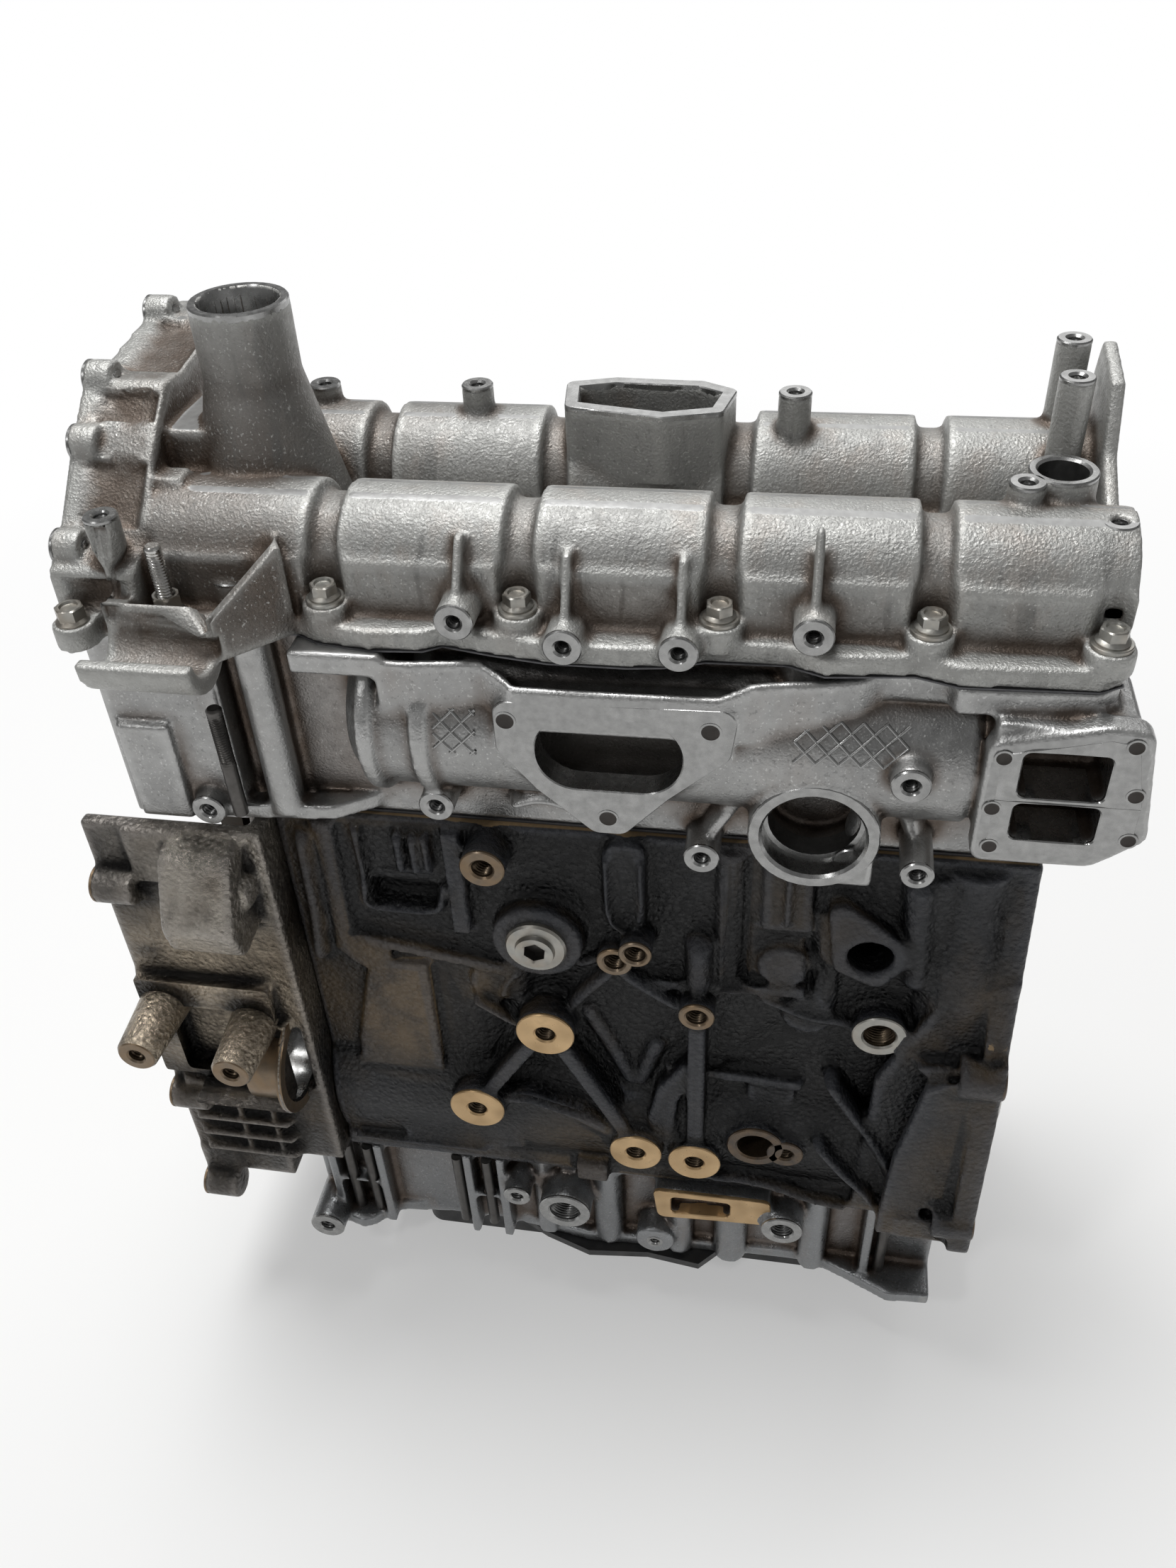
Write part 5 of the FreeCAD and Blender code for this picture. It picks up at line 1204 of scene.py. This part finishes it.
def loop_points(wheels, count):
    """Even steps along a belt line round two wheels: two straight runs and two arcs."""
    (y0, z0, r0), (y1, z1, r1) = wheels
    gap = math.hypot(y1 - y0, z1 - z0)
    heading = math.atan2(z1 - z0, y1 - y0)
    swing = math.asin((r1 - r0) / gap)
    first = heading - math.pi / 2 - swing
    last = heading + math.pi / 2 + swing
    far = np.linspace(first, last, 60)
    near = np.linspace(last, first + TAU, 60)
    line = np.concatenate([
        np.stack([y1 + r1 * np.cos(far), z1 + r1 * np.sin(far)], 1),
        np.stack([y0 + r0 * np.cos(near), z0 + r0 * np.sin(near)], 1),
    ])
    line = np.vstack([line, line[:1]])
    step = np.concatenate([[0], np.cumsum(np.linalg.norm(np.diff(line, axis=0), axis=1))])
    total = step[-1]
    number = int(round(total / count / 2)) * 2
    at = np.linspace(0, total, number, endpoint=False)
    return np.stack([np.interp(at, step, line[:, 0]), np.interp(at, step, line[:, 1])], 1)


class ENGINE_OT_chains(EngineOperator, Operator):
    """Link the timing chain and the chain between the camshafts."""
    bl_idname = "engine.chains"
    bl_label = "Chains"

    def execute(self, context):
        crank = node_box("crank_sprocket")
        crank_z = (crank[0][2] + crank[1][2]) / 2
        pitch = sizes().chain_pitch / MM
        loops = [("timing_chain", -247, 4.4, ((0, crank_z, 20.8), (44.5, CAM_Z, 38.8))),
                 ("cam_link_chain", -236, 3.4, ((-44.5, CAM_Z, 20.3), (44.5, CAM_Z, 20.3)))]
        for name, plane, half, wheels in loops:
            skin = Skin()
            spots = loop_points(wheels, pitch)
            after = np.roll(spots, -1, 0)
            for step, (spot, following) in enumerate(zip(spots, after)):
                forward = (following - spot) / np.linalg.norm(following - spot)
                side = np.array([-forward[1], forward[0]])
                reach_out = half if step % 2 else half - 1.3
                for sign in (-1, 1):
                    self.link(skin, spot, following, forward, side, plane + sign * (reach_out - 0.6), 0.55)
                self.pin(skin, spot, plane, half)
            skin.build(name + "_links", "block", ["chain"], 40, (name,))
        return {"FINISHED"}

    def link(self, skin, spot, following, forward, side, level, half):
        """Flat link plate: a waisted outline of ten points, closed to its middle on both faces."""
        angle = np.radians([90, 135, 180, 225, 270])
        start = spot + 2.3 * (np.cos(angle)[:, None] * forward + np.sin(angle)[:, None] * side)
        end = following - 2.3 * (np.cos(angle)[:, None] * forward + np.sin(angle)[:, None] * side)
        ring = np.concatenate([start, end])
        middle = np.repeat(((spot + following) / 2)[None], len(ring), 0)
        rows = [(middle, -half), (ring, -half), (ring, half), (middle, half)]
        points = [np.stack([np.full(len(flat), level + shift), flat[:, 0], flat[:, 1]], 1)
                  for flat, shift in rows]
        skin.grid(np.array(points), around=True)

    def pin(self, skin, spot, plane, half):
        """Chain pin: a six-sided bar across the plates."""
        angle = np.radians(np.arange(0, 360, 60))
        rows = []
        for radius, shift in ((0, -half), (1.3, -half), (1.3, half), (0, half)):
            rows.append(np.stack([np.full(6, plane + shift), spot[0] + radius * np.cos(angle),
                                  spot[1] + radius * np.sin(angle)], 1))
        skin.grid(np.array(rows), around=True)


class ENGINE_OT_stage(EngineOperator, Operator):
    """Lay the floor, hang the lamps and set the camera."""
    bl_idname = "engine.stage"
    bl_label = "Studio"

    def execute(self, context):
        scene = context.scene
        self.floor(scene)
        self.lamps(scene)
        self.camera(scene)
        scene.view_settings.view_transform = "Standard"
        return {"FINISHED"}

    def floor(self, scene):
        """A wide square, and a pale finish that the camera and the reflections see as white."""
        side = 6.0
        grid = np.linspace(-side, side, 3)
        x, y = np.meshgrid(grid, grid)
        skin = Skin()
        points = np.stack([x, y, np.full_like(x, -0.0005)], -1) / MM
        skin.grid(points)
        mesh = bpy.data.meshes.new("studio_floor")
        mesh.from_pydata(np.concatenate(skin.points) * MM, [], np.concatenate(skin.quads))
        ground = bpy.data.objects.new("studio_floor", mesh)
        scene.collection.objects.link(ground)
        s = Shade("floor_paper")
        s.set(Base_Color=tuple(colours().floor), Roughness=0.9)
        seen = self.seen(s.tree)
        distance = s.tree.nodes.new("ShaderNodeVectorMath")
        distance.operation = "LENGTH"
        s.link(s.place, distance.inputs[0])
        far = s.span(distance.outputs["Value"], 0.25, 1.5, 0.35, 1.0)
        white = s.tree.nodes.new("ShaderNodeEmission")
        joined = s.tree.nodes.new("ShaderNodeMixShader")
        s.link(s.times(far, seen), joined.inputs[0])
        s.link(s.shader.outputs[0], joined.inputs[1])
        s.link(white.outputs[0], joined.inputs[2])
        s.link(joined.outputs[0], s.tree.nodes["Material Output"].inputs["Surface"])
        mesh.materials.append(s.material)

    def seen(self, tree):
        """One for rays from the camera, a mirror or glass, so that these meet plain white."""
        path = tree.nodes.new("ShaderNodeLightPath")
        total = path.outputs["Is Camera Ray"]
        for label in ("Is Glossy Ray", "Is Transmission Ray"):
            node = tree.nodes.new("ShaderNodeMath")
            node.operation = "MAXIMUM"
            tree.links.new(total, node.inputs[0])
            tree.links.new(path.outputs[label], node.inputs[1])
            total = node.outputs["Value"]
        return total

    def lamps(self, scene):
        lamps = (("key_lamp", (-0.5, 0.25, 2.7), 1.1, 52), ("fill_lamp", (2.0, -1.6, 1.2), 2.0, 2),
                 ("glint_lamp", (-1.1, -1.5, 2.1), 0.25, 8), ("back_lamp", (0.3, 2.0, 2.2), 2.2, 22))
        for name, where, size, power in lamps:
            data = bpy.data.lights.new(name, "AREA")
            data.size = size
            data.energy = power
            lamp = bpy.data.objects.new(name, data)
            lamp.location = where
            lamp.rotation_euler = (Vector((0, 0, 0.33)) - lamp.location).to_track_quat("-Z", "Y").to_euler()
            scene.collection.objects.link(lamp)
        world = bpy.data.worlds.new("studio")
        world.use_nodes = True
        tree = world.node_tree
        ground = tree.nodes["Background"]
        ground.inputs["Color"].default_value = (1, 1, 1, 1)
        mixed = tree.nodes.new("ShaderNodeMapRange")
        tree.links.new(tree.nodes.new("ShaderNodeLightPath").outputs["Is Camera Ray"], mixed.inputs["Value"])
        mixed.inputs["To Min"].default_value = 0.22
        mixed.inputs["To Max"].default_value = 1.0
        tree.links.new(mixed.outputs["Result"], ground.inputs["Strength"])
        scene.world = world

    def camera(self, scene):
        """Camera at the photograph's bearing, height, roll and distance."""
        bearing, height, roll = (math.radians(angle) for angle in (11.39, 38.95, -3.1))
        level = math.cos(height)
        back = Vector((math.sin(bearing) * level, -math.cos(bearing) * level, math.sin(height)))
        right = (-back).cross(Vector(UP)).normalized()
        up = right.cross(-back)
        tilted = right * math.cos(roll) + up * math.sin(roll)
        upright = up * math.cos(roll) - right * math.sin(roll)
        data = bpy.data.cameras.new("camera")
        data.lens = sizes().lens
        data.sensor_width = 36
        data.clip_start = 0.01
        eye = bpy.data.objects.new("camera", data)
        eye.matrix_world = Matrix.Translation(Vector((81.11, -566.54, 856.0)) * MM) @ Matrix(
            (tilted, upright, back)).transposed().to_4x4()
        scene.collection.objects.link(eye)
        scene.camera = eye


STEPS = (ENGINE_OT_stage, ENGINE_OT_inner_parts, ENGINE_OT_cam_carrier, ENGINE_OT_cylinder_head,
         ENGINE_OT_cylinder_block, ENGINE_OT_timing_case, ENGINE_OT_bed_frame, ENGINE_OT_carrier_faces,
         ENGINE_OT_head_faces, ENGINE_OT_block_faces, ENGINE_OT_frame_faces, ENGINE_OT_fasteners,
         ENGINE_OT_lattice, ENGINE_OT_chains)


class ENGINE_PT_panel(Panel):
    """Lists the steps that dress the engine, its sizes and its colours."""
    bl_label = "Diesel long block"
    bl_idname = "ENGINE_PT_panel"
    bl_space_type = "VIEW_3D"
    bl_region_type = "UI"
    bl_category = "Engine"

    def draw(self, context):
        for group in (context.scene.engine_sizes, context.scene.engine_colours):
            box = self.layout.box()
            for name in group.__annotations__:
                box.prop(group, name)
        for step in STEPS:
            self.layout.operator(step.bl_idname)


CLASSES = (EngineSizes, EngineColours, *STEPS, ENGINE_PT_panel)


def register():
    for made in CLASSES:
        bpy.utils.register_class(made)
    bpy.types.Scene.engine_sizes = PointerProperty(type=EngineSizes)
    bpy.types.Scene.engine_colours = PointerProperty(type=EngineColours)


def unregister():
    del bpy.types.Scene.engine_sizes
    del bpy.types.Scene.engine_colours
    for made in reversed(CLASSES):
        bpy.utils.unregister_class(made)


def main():
    register()
    for step in STEPS:
        group, name = step.bl_idname.split(".")
        getattr(getattr(bpy.ops, group), name)()


if __name__ == "__main__":
    main()
